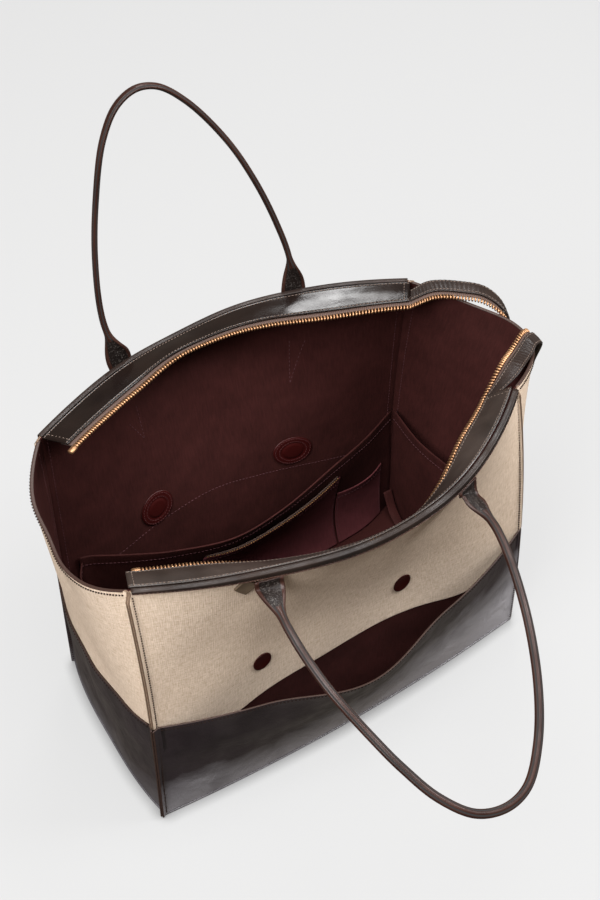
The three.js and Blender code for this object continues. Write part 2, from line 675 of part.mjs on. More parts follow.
// A place on the flat facets of a canvas wall, moved out by an offset
function facePoint(wallName, s, z, offset) {
  const row = Math.max(CANVAS_ROWS.findIndex((top) => top >= z), 1);
  const [low, high] = [CANVAS_ROWS[row - 1], CANVAS_ROWS[row]];
  const step = 2 / columnsOf(wallName);
  const left = Math.floor((s + 1) / step) * step - 1;
  const across = (s - left) / step;
  const up = (z - low) / (high - low);
  const corner = (column, height) => wallPoint(wallName, left + column * step, height, offset);
  const turn = across > up ? corner(1, low) : corner(0, high);
  const place = corner(0, low).multiplyScalar(1 - Math.max(across, up));
  place.addScaledVector(turn, Math.abs(across - up));
  return place.addScaledVector(corner(1, high), Math.min(across, up));
}

// A disc sewn to a wall
function addDisc(name, wallName, s, z, width, height, low, high, material, count = 20) {
  const span = cornerAt(wallTable[wallName].to, z).distanceTo(cornerAt(wallTable[wallName].from, z));
  const place = (share, angle, offset) => {
    const across = (Math.cos(angle) * width * share) / span;
    return facePoint(wallName, s + across, z + (Math.sin(angle) * height * share) / 2, offset);
  };
  const points = [place(0, 0, low), place(0, 0, high)];
  const triangles = [];
  for (const angle of spread(count, 0, 2 * Math.PI).slice(0, -1)) {
    points.push(place(1, angle, low), place(1, angle, high));
  }
  for (let i = 0; i < count; i += 1) {
    const a = 2 + 2 * i;
    const b = 2 + 2 * ((i + 1) % count);
    triangles.push([0, b, a], [1, a + 1, b + 1], [a, b, b + 1], [a, b + 1, a + 1]);
  }
  addSolid(name, points, triangles, material);
}

// Leather dots on the front canvas, oval leather patches on the back lining
const DOT_HEIGHT = 150;
const dotTable = [
  { name: 'left_dot', s: -0.455 },
  { name: 'right_dot', s: 0.32 },
];
for (const { name, s } of dotTable) {
  addDisc(name, 'front', s, DOT_HEIGHT, 18.5, 25, OVER_CANVAS, OVER_CANVAS + 1, materials.patch);
}
const patchLow = LINING_IN - SEAM_GAP;
const patchTable = [
  { name: 'left_patch', s: 0.44, z: 147, width: 38, height: 40 },
  { name: 'right_patch', s: -0.385, z: 135, width: 45, height: 31 },
];
for (const { name, s, z, width, height } of patchTable) {
  addDisc(name, 'back', s, z, width, height, patchLow, patchLow - 1.6, materials.patch);
}

// Small leather tab hanging from the front binding, beside the left handle foot
const TAB = 21;
const tabLow = OVER_CANVAS + SEAM_GAP;
addDisc('rim_tab', 'front', -0.575, PANEL_HEIGHT - 18, TAB, TAB, tabLow, tabLow + 1.5, materials.leather, 4);

export default bag;
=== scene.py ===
# Open shopper bag of canvas and polished leather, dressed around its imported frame.
# Sizes are in millimetres and go into the meshes in metres; +Z is up and -Y is the bag's front.
import math

import bpy
import numpy as np
from mathutils import Matrix


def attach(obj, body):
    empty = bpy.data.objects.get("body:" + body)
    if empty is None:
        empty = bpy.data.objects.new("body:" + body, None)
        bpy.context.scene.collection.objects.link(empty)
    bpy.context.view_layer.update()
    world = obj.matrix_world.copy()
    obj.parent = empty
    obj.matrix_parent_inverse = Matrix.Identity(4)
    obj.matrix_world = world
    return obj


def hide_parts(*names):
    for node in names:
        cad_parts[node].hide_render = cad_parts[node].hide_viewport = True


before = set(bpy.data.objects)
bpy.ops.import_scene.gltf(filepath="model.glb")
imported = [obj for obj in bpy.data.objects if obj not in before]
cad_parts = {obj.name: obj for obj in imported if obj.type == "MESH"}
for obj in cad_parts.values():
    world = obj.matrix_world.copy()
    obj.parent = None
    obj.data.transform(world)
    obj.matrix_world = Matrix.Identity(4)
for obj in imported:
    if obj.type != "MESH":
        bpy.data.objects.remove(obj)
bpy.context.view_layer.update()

# Base: one flat piece of polished calf leather that the bag stands on.
# It is cut to the outline of the lower walls, with a rounded edge, and sewn to them along the floor.
MM = 0.001
BASE_WIDTH = 400.0
BASE_DEPTH = 206.0
BASE_THICK = 2.0
BASE_MARGIN = 1.2
PANEL_HEIGHT = 312.0
LEATHER_HEIGHT = 138.0
LEATHER = 1.8
SEAM_GAP = 0.3
FLOOR_ROW = BASE_THICK + SEAM_GAP
LEAN_POWER = 2.5
EVEN_FOOT = 40.0
WAY_STEP = 0.004
PANEL_COLUMNS = 97
SIDE_COLUMNS = 59
# Each corner post has its place on the base and how far it leans by the rim.
corner_posts = {
    "front_left": {"x": -BASE_WIDTH / 2, "y": -BASE_DEPTH / 2, "lean_x": -5, "lean_y": 13},
    "front_right": {"x": BASE_WIDTH / 2, "y": -BASE_DEPTH / 2, "lean_x": -9, "lean_y": 22},
    "back_right": {"x": BASE_WIDTH / 2, "y": BASE_DEPTH / 2, "lean_x": 1, "lean_y": -15},
    "back_left": {"x": 14 - BASE_WIDTH / 2, "y": BASE_DEPTH / 2 - 9, "lean_x": 1, "lean_y": 4},
}
# Each wall has its bow at the floor, at the leather's top and at the rim, the bow's lean to one side, the
# rim's sag, the power of its arch, the swelling of the pocket's lip, and the size and phase of its waves.
walls = {
    "front": {"start": "front_left", "end": "front_right", "floor": 0, "middle": -3, "rim": 60,
              "skew": 0.28, "dip": -14, "full": 2, "lip": 0, "uneven": 1.0, "phase": 0.4},
    "right": {"start": "front_right", "end": "back_right", "floor": 0, "middle": 16, "rim": 60,
              "skew": -0.3, "dip": -16, "full": 2, "lip": 0, "uneven": 1.0, "phase": 2.2},
    "back": {"start": "back_right", "end": "back_left", "floor": 8, "middle": 12, "rim": 63,
             "skew": -0.11, "dip": -8, "full": 2, "lip": 0, "uneven": 1.2, "phase": 3.7},
    "left": {"start": "back_left", "end": "front_left", "floor": 8, "middle": 15, "rim": 30,
             "skew": 0, "dip": -28, "full": 3, "lip": 0, "uneven": 1.0, "phase": 5.1},
    "pocket": {"start": "front_left", "end": "front_right", "floor": 10, "middle": 45, "rim": 89,
               "skew": 0, "dip": 0, "full": 2, "lip": 16.6, "uneven": 0.9, "phase": 1.3},
}
neighbours = {
    "front_left": ("left", "front"),
    "front_right": ("front", "right"),
    "back_right": ("right", "back"),
    "back_left": ("back", "left"),
}
LIP_CENTRE = -0.06
LIP_REACH = 0.49
LIP_DROP = 6.3


def unit(vectors):
    """Vectors scaled to length one."""
    return vectors / np.linalg.norm(vectors, axis=-1, keepdims=True)


def dot(a, b):
    """Dot product of matching vectors, kept as a column."""
    return (a * b).sum(-1, keepdims=True)


def right_turn(plan):
    """Plan vectors turned clockwise by a quarter turn."""
    return np.stack([plan[..., 1], -plan[..., 0]], -1)


def corner_at(name, z):
    """Plan place of a corner post: its place on the base plus a lean that grows as a power of height."""
    post = corner_posts[name]
    lean = (z / PANEL_HEIGHT) ** LEAN_POWER
    return np.stack([post["x"] + post["lean_x"] * lean, post["y"] + post["lean_y"] * lean], -1)


def lip_share(s, z):
    """The pocket lip's swelling: cosine squared across the wall, growing as height squared."""
    away = np.clip((s - LIP_CENTRE) / LIP_REACH, -1, 1)
    return np.cos(away * np.pi / 2) ** 2 * (z / LEATHER_HEIGHT) ** 2


def uneven(wall, s, z):
    """Soft unevenness of a sewn wall: three long waves that die out at the corner seams and the floor."""
    phase = wall["phase"]
    waves = np.sin(5.1 * s + 0.021 * z + phase) + 0.6 * np.sin(9.3 * s - 0.034 * z + 2.1 * phase)
    waves = waves + 0.5 * np.sin(2.3 * s + 0.055 * z + 4 * phase)
    return wall["uneven"] * waves * (1 - s * s) * np.clip(z / EVEN_FOOT, 0, 1)


def seam_line(wall_name, s, z):
    """Plan point of a wall: the line between its posts, bowed outward by a quadratic in height."""
    wall = walls[wall_name]
    start = corner_at(wall["start"], z)
    along = corner_at(wall["end"], z) - start
    outward = unit(right_turn(along))
    lower = (wall["middle"] - wall["floor"]) / LEATHER_HEIGHT
    upper = (wall["rim"] - wall["middle"]) / (PANEL_HEIGHT - LEATHER_HEIGHT)
    bow = wall["floor"] + lower * z + (upper - lower) / PANEL_HEIGHT * z * (z - LEATHER_HEIGHT)
    arch = (1 - np.abs(s) ** wall["full"]) * (1 + wall["skew"] * s * z / PANEL_HEIGHT)
    reach = bow * arch + wall["lip"] * lip_share(s, z) + uneven(wall, s, z)
    return start + along * ((s + 1) / 2)[..., None] + outward * reach[..., None]


def seam_normal(wall_name, s, z):
    """Outward plan direction of a wall, at right angles to a short step along it."""
    before, after = (seam_line(wall_name, np.clip(s + step, -1, 1), z) for step in (-WAY_STEP, WAY_STEP))
    return unit(right_turn(after - before))


def wall_point(wall_name, s, z, offset):
    """Point of a wall moved out by an offset; its rows sag between the corners, most at the rim."""
    s, z = np.broadcast_arrays(np.asarray(s, float), np.asarray(z, float))
    wall = walls[wall_name]
    plan = seam_line(wall_name, s, z) + seam_normal(wall_name, s, z) * np.asarray(offset, float)[..., None]
    drop = LIP_DROP * lip_share(s, z) if wall["lip"] else 0
    height = z + wall["dip"] * (1 - s * s) * (z / PANEL_HEIGHT) ** 3 - drop
    return np.concatenate([plan, height[..., None]], -1)


def corner_way(corner_name, z, panel_share=1.0):
    """Outward way of a corner: the sum of its two walls' ways, with a share of the front or back one's."""
    way = 0
    for wall_name, end in zip(neighbours[corner_name], (1.0, -1.0)):
        share = panel_share if wall_name in ("front", "back") else 1.0
        way = way + share * seam_normal(wall_name, np.full_like(z, end), z)
    return unit(way)


def wall_end(wall_name, end, z):
    """A wall's end: its corner's name, the wall's outward way there and the way in along the wall."""
    name = walls[wall_name]["start" if end < 0 else "end"]
    normal = seam_normal(wall_name, np.full_like(z, end), z)
    return name, normal, end * right_turn(normal)


def mitred_end(wall_name, end, z, offset):
    """End of a wall's rows, mitred into the corner half a seam gap short of the next wall."""
    name, normal, inward = wall_end(wall_name, end, z)
    way = corner_way(name, z)
    plan = corner_at(name, z) + way * offset[:, None] / dot(way, normal) + inward * SEAM_GAP / 2
    return np.column_stack([plan, z])[:, None]


def level(z):
    """A line, or an offset, that stays at one value."""
    return lambda s: np.full(np.shape(s), float(z))


def wall_face(wall_name, rise, foot, top, offset, ending=mitred_end):
    """One face of a wall: shares of the way from its foot line to its top line, by columns round the wall."""
    s = np.linspace(-1, 1, SIDE_COLUMNS if wall_name in ("left", "right") else PANEL_COLUMNS)[1:-1]
    z = foot(s) + rise[:, None] * (top(s) - foot(s))
    middle = wall_point(wall_name, s, z, offset(z))
    ends = []
    for end in (-1.0, 1.0):
        low, high = foot(np.array([end])), top(np.array([end]))
        z = low + rise * (high - low)
        ends.append(ending(wall_name, end, z, offset(z)))
    return np.concatenate([ends[0], middle, ends[1][:, ::-1]], 1)


def outline(z, offset, names):
    """Plan outline at one height: the mitred rows of the walls, one after another."""
    line = level(z)
    rows = [wall_face(name, np.zeros(1), line, line, level(offset))[0, :, :2] for name in names]
    return np.concatenate(rows)


def plate_rings(plan, profile):
    """Rings of a plate: for each row of the profile, its outline drawn in by an inset, at a height."""
    inward = unit(plan.mean(0) - plan)
    rings = [np.column_stack([plan + inward * inset, np.full(len(plan), z)]) for inset, z in profile]
    return np.stack(rings)


def put_mesh(name, points, faces, materials, indices=None, flat=None):
    """A smooth mesh object from points in mm, with its faces turned outward by the sign of its volume."""
    points = np.asarray(points, float).reshape(-1, 3) * MM
    corners = [points[[face[k] for face in faces]] for k in range(3)]
    volume = np.einsum("ij,ij->", corners[0], np.cross(corners[1], corners[2]))
    quads = [face for face in faces if len(face) == 4]
    if quads:
        a, c, d = (points[[face[k] for face in quads]] for k in (0, 2, 3))
        volume += np.einsum("ij,ij->", a, np.cross(c, d))
    mesh = bpy.data.meshes.new(name)
    mesh.from_pydata(points.tolist(), [], [face[::-1] for face in faces] if volume < 0 else faces)
    for material in materials:
        mesh.materials.append(material)
    if indices is not None:
        mesh.polygons.foreach_set("material_index", np.asarray(indices, np.int32))
    if flat is not None:
        vertex = np.empty(len(mesh.loops), np.int32)
        mesh.loops.foreach_get("vertex_index", vertex)
        mesh.uv_layers.new(name="flat").data.foreach_set("uv", (flat[vertex] * MM).ravel())
    mesh.shade_smooth()
    mesh.update()
    piece = bpy.data.objects.new(name, mesh)
    bpy.context.scene.collection.objects.link(piece)
    return piece


def flat_places(face):
    """Where each point lies on the flat piece: lengths along its middle row and up its middle column."""
    across = np.linalg.norm(np.diff(face[len(face) // 2], axis=0), axis=-1)
    up = np.linalg.norm(np.diff(face[:, face.shape[1] // 2], axis=0), axis=-1)
    u, v = (np.concatenate([[0], np.cumsum(steps)]) for steps in (across, up))
    return np.stack(np.meshgrid(u, v), -1)


def bar_mesh(name, rings, materials, flat=False, finish=None):
    """A bar through a row of closed rings, capped at both ends; finish picks each side face's material."""
    rows, size = rings.shape[:2]
    index = np.arange(rows * size).reshape(rows, size)
    after = np.roll(index, -1, axis=1)
    sides = np.stack([index[:-1], after[:-1], after[1:], index[1:]], -1).reshape(-1, 4)
    faces = sides.tolist() + [index[0][::-1].tolist(), index[-1].tolist()]
    places = flat_places(rings).reshape(-1, 2) if flat else None
    kinds = None if finish is None else np.concatenate([finish.ravel(), [0, 0]])
    return put_mesh(name, rings, faces, materials, kinds, places)


def settle(piece, slot, *nodes):
    """Fix a piece to the bag and let it stand for its CAD nodes, which are hidden; the slot is not used."""
    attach(piece, "root")
    if nodes:
        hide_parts(*nodes)


def linear(code):
    """Linear colour of an sRGB hex code."""
    parts = np.array([int(code[i:i + 2], 16) for i in (1, 3, 5)]) / 255
    values = np.where(parts <= 0.04045, parts / 12.92, ((parts + 0.055) / 1.055) ** 2.4)
    return (*values.tolist(), 1.0)


def feed(tree, node, inputs):
    """Set a node's inputs: an output of another node is linked, and any other value is set."""
    for key, value in inputs.items():
        if isinstance(value, bpy.types.NodeSocket):
            tree.links.new(value, node.inputs[key])
        else:
            node.inputs[key].default_value = value


def add_node(tree, kind, output, inputs=None, **settings):
    """Add a shader node with its settings and inputs, and return one of its outputs."""
    node = tree.nodes.new("ShaderNode" + kind)
    for key, value in settings.items():
        setattr(node, key, value)
    feed(tree, node, inputs or {})
    return node.outputs[output]


def new_material(name, inputs):
    """A material with one Principled shader, some of whose inputs are set at once."""
    material = bpy.data.materials.new(name)
    material.use_nodes = True
    shader = material.node_tree.nodes["Principled BSDF"]
    feed(material.node_tree, shader, inputs)
    return material, material.node_tree, shader


def per_metre(size_mm):
    """Texture scale whose features are about this many millimetres across."""
    return 1 / (size_mm * MM)


def mottle(tree, place, size_mm, detail, span, result):
    """Soft blotches about this many millimetres across: noise spread from a span over a range of results."""
    blotches = add_node(tree, "TexNoise", "Fac",
                        {"Vector": place, "Scale": per_metre(size_mm), "Detail": detail})
    return add_node(tree, "MapRange", "Result", {"Value": blotches, "From Min": span[0], "From Max": span[1],
                                                 "To Min": result[0], "To Max": result[1]})


def layered(tree, ground, *layers):
    """A ground colour under layers of colour, each laid on by a factor from 0 to 1."""
    colour = linear(ground)
    for factor, code in layers:
        colour = add_node(tree, "Mix", 2, {0: factor, 6: colour, 7: linear(code)}, data_type="RGBA")
    return colour


def relief(tree, *layers):
    """A bumped normal from heights laid one over another, each with its depth in millimetres."""
    inputs = {}
    for height, depth in layers:
        inputs.update({"Height": height, "Distance": depth * MM})
        inputs["Normal"] = add_node(tree, "Bump", "Normal", inputs)
    return inputs["Normal"]


def polished_leather(name, dark, light, roughness, gloss, crease=0.9, grain=0.12, painted_floor_reflection=0.0, specks=0.0):
    """Polished calf: cloudy dye, grain, creases, waxy sheen, a painted reflection of the floor near its foot,
    and pale specks painted for the glints of its grain.
    """
    material, tree, shader = new_material(name, {"IOR": 1.5})
    place = add_node(tree, "TexCoord", "Object")
    clouds = mottle(tree, place, 40, 5.0, (0.3, 0.7), (0.0, 1.0))
    # The painted reflection of the floor ends along a wandering line that rises to the right.
    across = add_node(tree, "SeparateXYZ", "X", {"Vector": place})
    tilted = add_node(tree, "Math", "Value", {0: across, 1: -0.2, 2: across.node.outputs["Z"]},
                      operation="MULTIPLY_ADD")
    wander = add_node(tree, "TexNoise", "Fac", {"Vector": place, "Scale": per_metre(60), "Detail": 6.0,
                                                "Distortion": 0.6})
    height = add_node(tree, "Math", "Value", {0: wander, 1: 0.09, 2: tilted}, operation="MULTIPLY_ADD")
    # Paler grey towards the floor: a painted reflection of the floor.
    floor_reflection_mask = add_node(tree, "MapRange", "Result", {"Value": height, "From Min": 0.05, "From Max": 0.125,
                                                   "To Min": painted_floor_reflection, "To Max": 0.0})
    # Pale specks: painted glints of the grain.
    grain_glint_mask = mottle(tree, place, 1.3, 2.0, (0.55, 0.7), (0.0, specks))
    creases = add_node(tree, "TexNoise", "Fac", {"Vector": place, "Scale": per_metre(22), "Detail": 4.0,
                                                 "Distortion": 1.2})
    pores = add_node(tree, "TexNoise", "Fac", {"Vector": place, "Scale": per_metre(1.6), "Detail": 3.0})
    feed(tree, shader, {
        "Base Color": layered(tree, dark, (clouds, light), (floor_reflection_mask, "#9f9da2"), (grain_glint_mask, "#8f8882")),
        "Roughness": mottle(tree, place, 14, 4.0, (0.3, 0.7), roughness),
        "Specular IOR Level": mottle(tree, place, 34, 3.0, (0.42, 0.68), gloss),
        "Normal": relief(tree, (creases, crease), (pores, grain)),
    })
    return material


# The calf is nearly black, with a soft uneven shine and a faint painted reflection of the floor along its
# foot.
CALF = ("#181216", "#292226", (0.3, 0.44), (0.25, 0.5))
calf = polished_leather("polished dark calf leather", *CALF, painted_floor_reflection=0.3)
ROUND = ["pocket", "right", "back", "left"]
base_profile = [(1.2, 0.0), (0.4, 0.2), (0.0, 0.8), (0.0, 1.3), (0.4, 1.8), (1.2, BASE_THICK)]
base_plan = outline(FLOOR_ROW, LEATHER + BASE_MARGIN, ROUND)
base = bar_mesh("base", plate_rings(base_plan, base_profile), [calf])
settle(base, "leather", "base_panel")

# Lower walls: four panels of the same polished calf, 1.8 mm thick, edges painted brown.
# They are sewn to each other in raised corner seams and, except at the open front pocket, to the canvas.
WALLS = ("front", "right", "back", "left")
CANVAS_FOOT = 100.0
CANVAS_IN = 0.15
CANVAS_OUT = 1.75
OVER_CANVAS = CANVAS_OUT + SEAM_GAP
STEP_FOOT = 60.0
TOP_STITCH = 3.0
SEWN_END = 0.985
CORNER_SEWN_FOOT = 5.0
EDGE_BULGE = 0.6
STITCH_SHARE = 0.76
# The corner seams stand out by these lengths, more in the side walls' direction than in the panels'.
WELT = {"front_left": 7.0, "front_right": 4.0, "back_right": 4.0, "back_left": 5.0}
WELT_SHARE = 0.35
WELT_LEAST = 1.2
WELT_BEND = 2.5


def smooth(value, low, high):
    """A smooth step from 0 at low to 1 at high."""
    t = np.clip((value - low) / (high - low), 0, 1)
    return t * t * (3 - 2 * t)


def welt_ways(name, inward, z):
    """Ways of a raised corner seam: out along it, and across it towards the wall that runs inward."""
    out = corner_way(name, z, WELT_SHARE)
    across = right_turn(out)
    return out, across * np.sign(dot(across, inward))


def raised_end(tip_offset=None, shown=None):
    """Ending of a wall's rows that bends out along the raised corner seam in a quadratic curve."""
    def ending(wall_name, end, z, offset):
        """Points from the seam's tip down to its root and a little way in along the wall."""
        name, normal, inward = wall_end(wall_name, end, z)
        out, across = welt_ways(name, inward, z)
        corner = corner_at(name, z)
        offset = offset[:, None]
        bend = unit(normal + across)
        root = corner + bend * offset / dot(bend, normal)
        reach = WELT[name] if shown is None else WELT_LEAST + (WELT[name] - WELT_LEAST) * shown(z)[:, None]
        tip = corner + out * reach + across * (offset if tip_offset is None else tip_offset)
        knots = ((tip + root) / 2, root, root + inward * WELT_BEND)
        start, middle, stop = (knot[:, None] for knot in knots)
        t = np.linspace(0, 1, 5)[:, None]
        curve = start * (1 - t) ** 2 + middle * 2 * t * (1 - t) + stop * t * t
        plan = np.concatenate([tip[:, None], curve], 1)
        heights = np.broadcast_to(z[:, None, None], (*plan.shape[:2], 1))
        return np.concatenate([plan, heights], -1)
    return ending


def sheet_mesh(name, outer, inner, materials):
    """A sheet: two face grids, closed round their edge by a strip that bulges in a half round."""
    rows, columns = outer.shape[:2]
    count = rows * columns
    index = np.arange(count).reshape(rows, columns)
    edge = np.concatenate([index[0], index[1:, -1], index[-1, -2::-1], index[-2:0:-1, 0]])
    row, column = np.divmod(edge, columns)
    middle = (outer + inner) / 2
    rim = middle[row, column]
    half = (outer - inner)[row, column] / 2
    away = unit(rim - middle[np.clip(row, 1, rows - 2), np.clip(column, 1, columns - 2)])
    away = away * np.linalg.norm(half, axis=-1, keepdims=True)
    turns = np.radians([45, 90, 135])[:, None, None]
    bulge = rim + np.cos(turns) * half + EDGE_BULGE * np.sin(turns) * away
    rings = np.concatenate([[edge], 2 * count + np.arange(3 * len(edge)).reshape(3, -1), [edge + count]])
    after = np.roll(rings, -1, axis=1)
    strip = np.stack([rings[:-1], rings[1:], after[1:], after[:-1]], -1).reshape(-1, 4)
    face = np.stack([index[:-1, :-1], index[:-1, 1:], index[1:, 1:], index[1:, :-1]], -1).reshape(-1, 4)
    faces = np.concatenate([face, (face + count)[:, ::-1], strip])
    points = np.concatenate([outer.reshape(-1, 3), inner.reshape(-1, 3), bulge.reshape(-1, 3)])
    flat = flat_places(outer).reshape(-1, 2)
    flat = np.concatenate([flat, flat, np.tile(flat[edge], (3, 1))])
    kinds = np.repeat([0, 1], [2 * len(face), len(strip)])
    return put_mesh(name, points, faces.tolist(), materials, kinds, flat)


def sample(values, lengths, at):
    """Values along a line, at lengths along it."""
    return np.stack([np.interp(at, lengths, values[:, k]) for k in range(values.shape[1])], -1)


def run_lengths(line):
    """Length along a line at each of its points."""
    return np.concatenate([[0], np.cumsum(np.linalg.norm(np.diff(line, axis=0), axis=-1))])


def rods_mesh(name, rings, caps, material):
    """Many short rods in one mesh: a row of rings for each rod, its end rings filled by the cap faces."""
    index = np.arange(rings.size // 3).reshape(rings.shape[:3])
    after = np.roll(index, -1, axis=2)
    sides = np.stack([index[:, :-1], after[:, :-1], after[:, 1:], index[:, 1:]], -1).reshape(-1, 4)
    first = [index[:, 0][:, cap[::-1]] for cap in caps]
    last = [index[:, -1][:, cap] for cap in caps]
    return put_mesh(name, rings, np.concatenate([sides, *first, *last]).tolist(), [material])


def stitch_mesh(name, runs, material, pitch=3.4, thread=0.42, slant=0.0):
    """Stitches along runs of points and normals: bent capsules whose ends sink into the surface."""
    t = np.linspace(0, 1, 5)
    hump = np.sin(np.pi * t)
    turn = np.linspace(0, 2 * np.pi, 7)[:-1, None]
    rings = []
    for line, normals in runs:
        lengths = run_lengths(line)
        count = max(1, int(lengths[-1] / pitch))
        middles = (np.arange(count) + 0.5) * lengths[-1] / count
        at = middles[:, None] + (t - 0.5) * STITCH_SHARE * pitch
        normal = unit(sample(normals, lengths, at))
        way = unit(sample(line, lengths, at + 0.3) - sample(line, lengths, at - 0.3))
        side = unit(np.cross(way, normal))
        lift = thread * (1.2 * hump - 0.6)[:, None]
        centre = sample(line, lengths, at) + normal * lift + side * (slant * (t - 0.5))[:, None]
        radius = thread * (0.35 + 0.65 * hump)[:, None, None]
        section = np.cos(turn) * side[:, :, None] + np.sin(turn) * normal[:, :, None]
        rings.append(centre[:, :, None] + radius * section)
    return rods_mesh(name, np.concatenate(rings), ([0, 1, 2, 3], [0, 3, 4, 5]), material)


def wall_run(wall_name, s, z, offset):
    """A run of stitching on a wall: its points and the wall's outward ways."""
    s, z = np.broadcast_arrays(np.asarray(s, float), np.asarray(z, float))
    normal = seam_normal(wall_name, s, z)
    return wall_point(wall_name, s, z, offset), np.column_stack([normal, np.zeros(len(normal))])


def welt_run(wall_name, end, low, high, offset, from_corner):
    """A run of stitching up one side of a raised corner seam."""
    z = np.linspace(low, high, 60)
    name, _, inward = wall_end(wall_name, end, z)
    out, across = welt_ways(name, inward, z)
    plan = corner_at(name, z) + out * from_corner + across * np.reshape(offset(z), (-1, 1))
    return np.column_stack([plan, z]), np.column_stack([across, np.zeros(len(z))])


def leather_face(depth, share=1.0):
    """Offset of a lower wall's face: its depth plus a share of the smooth step over the tucked canvas."""
    step = share * (OVER_CANVAS - CANVAS_IN)
    return lambda z: CANVAS_IN + step * smooth(z, STEP_FOOT, CANVAS_FOOT - 2) + depth


def rises(rows, height):
    """Shares of a height, with rows close to both edges so that these stay crisp."""
    edge = np.array([0, 1, 2.4]) / height
    return np.concatenate([edge, np.linspace(edge[-1], 1 - edge[-1], rows)[1:-1], 1 - edge[::-1]])


def plain_finish(name, code, roughness, specular=0.5, metallic=0.0):
    """A material with one colour and one gloss all over."""
    inputs = {"Base Color": linear(code), "Roughness": roughness, "Specular IOR Level": specular,
              "Metallic": metallic}
    return new_material(name, inputs)[0]


# Cut edges of the leather are sealed with a brown edge paint, slightly glossy.
edge_paint = plain_finish("brown edge paint", "#2c1c16", 0.55, 0.3)
# Waxed sewing thread, nearly black on the leather.
dark_thread = plain_finish("dark waxed thread", "#1f140f", 0.9, 0.1)
# The front panel is the same calf, with a stronger painted reflection of the floor along its foot.
front_calf = polished_leather("front calf leather with painted floor reflection", *CALF, painted_floor_reflection=1.0)
lower_rows = rises(34, LEATHER_HEIGHT)
leather_runs = []
leather_seam_runs = []
for piece_name, wall_name in zip(WALLS, ROUND):
    faces_pair = [wall_face(wall_name, lower_rows, level(FLOOR_ROW), level(LEATHER_HEIGHT),
                            leather_face(depth), raised_end(tip_offset=CANVAS_IN + depth))
                  for depth in (LEATHER, 0)]
    hide = front_calf if piece_name == "front" else calf
    panel = sheet_mesh(piece_name + "_lower_wall", *faces_pair, [hide, edge_paint])
    settle(panel, "leather", piece_name + "_leather")
    span = np.linspace(-SEWN_END, SEWN_END, 160)
    leather_runs.append(wall_run(wall_name, span, LEATHER_HEIGHT - TOP_STITCH, OVER_CANVAS + LEATHER))
    for end in (-1.0, 1.0):
        leather_seam_runs.append(welt_run(wall_name, end, CORNER_SEWN_FOOT, LEATHER_HEIGHT - TOP_STITCH,
                                          leather_face(LEATHER, 0.5), from_corner=2.9))
leather_stitches = stitch_mesh("lower_wall_stitches", leather_runs, dark_thread)
settle(leather_stitches, "trim")
corner_stitches = stitch_mesh("lower_corner_stitches", leather_seam_runs, dark_thread, thread=0.6, slant=1.8)
settle(corner_stitches, "trim")

# Upper walls: natural linen-look canvas, 1.6 mm thick with its backing.
# Each is tucked behind the leather at its foot and sewn to its neighbours in raised corner seams.
FOOT_RISE = 3.0
FOOT_SAG = 22.0
RIM_SEWN_END = 0.97
RIM_SEWN_GAP = 5.0
WELT_FADE = 3.0
WEAVE = 1.7
# A wave texture of scale one repeats in this length.
WAVE_BAND = 0.314


def canvas_cloth():
    """Undyed canvas: a plain weave, slubs along both threads, small dark flecks and a slack surface."""
    material, tree, shader = new_material("natural canvas", {"Roughness": 0.9, "Specular IOR Level": 0.2})
    cloth = add_node(tree, "TexCoord", "UV")
    # The real weave is finer than a pixel of the picture, so it is drawn coarse enough to show.
    threads = {"Vector": cloth, "Scale": WAVE_BAND * per_metre(WEAVE), "Distortion": 1.2, "Detail": 2.0,
               "Detail Scale": 3.0}
    ribs = []
    streaks = []
    for direction, drawn_out in (("X", (1.0, 0.14, 1.0)), ("Y", (0.14, 1.0, 1.0))):
        ribs.append(add_node(tree, "TexWave", "Fac", threads, bands_direction=direction))
        along = add_node(tree, "Mapping", "Vector", {"Vector": cloth, "Scale": drawn_out})
        streaks.append(add_node(tree, "TexNoise", "Fac", {"Vector": along, "Scale": per_metre(1.2)}))
    weave = add_node(tree, "Math", "Value", {0: ribs[0], 1: ribs[1]}, operation="MULTIPLY")
    slubs = add_node(tree, "Math", "Value", {0: streaks[0], 1: streaks[1]}, operation="ADD")
    tone = add_node(tree, "MapRange", "Result", {"Value": slubs, "From Min": 0.75, "From Max": 1.25})
    gaps = add_node(tree, "MapRange", "Result", {"Value": weave, "From Max": 0.5,
                                                 "To Min": 0.2, "To Max": 0.0})
    clouds = mottle(tree, cloth, 60, 3.0, (0.3, 0.7), (0.0, 0.16))
    flecks = mottle(tree, cloth, 1.7, 1.0, (0.64, 0.78), (0.0, 0.5))
    slack = add_node(tree, "TexNoise", "Fac", {"Vector": cloth, "Scale": per_metre(30), "Detail": 3.0})
    feed(tree, shader, {
        "Base Color": layered(tree, "#c2ad98", (tone, "#dfcdbb"), (clouds, "#b7a28d"), (gaps, "#7d674f"),
                              (flecks, "#6f5a45")),
        "Normal": relief(tree, (slack, 0.8), (slubs, 0.18), (weave, 0.13)),
    })
    return material


def foot_line(s):
    """Foot of the front canvas behind the pocket: a level line with two sine-squared sags."""
    return CANVAS_FOOT + FOOT_RISE - FOOT_SAG * np.sin(np.pi * s * s) ** 2


def lengths_across(face, axis):
    """Longest row, or column, of a face in metres."""
    return np.linalg.norm(np.diff(face, axis=axis), axis=-1).sum(axis).max() * MM


def declare_cloth(piece, face, held, *rests_on):
    """Work out a sheet's flat size as its longest row by its longest column; nothing uses it, and piece, held
    and rests_on are not used.
    """
    size = (lengths_across(face, 1), lengths_across(face, 0))


def canvas_welt(z):
    """Share of the corner seam that the canvas shows: little inside the leather and under the rim."""
    above_leather = smooth(z, LEATHER_HEIGHT - WELT_FADE, LEATHER_HEIGHT + WELT_FADE)
    return above_leather * (1 - smooth(z, PANEL_HEIGHT - 2 * WELT_FADE, PANEL_HEIGHT - WELT_FADE / 2))


canvas = canvas_cloth()
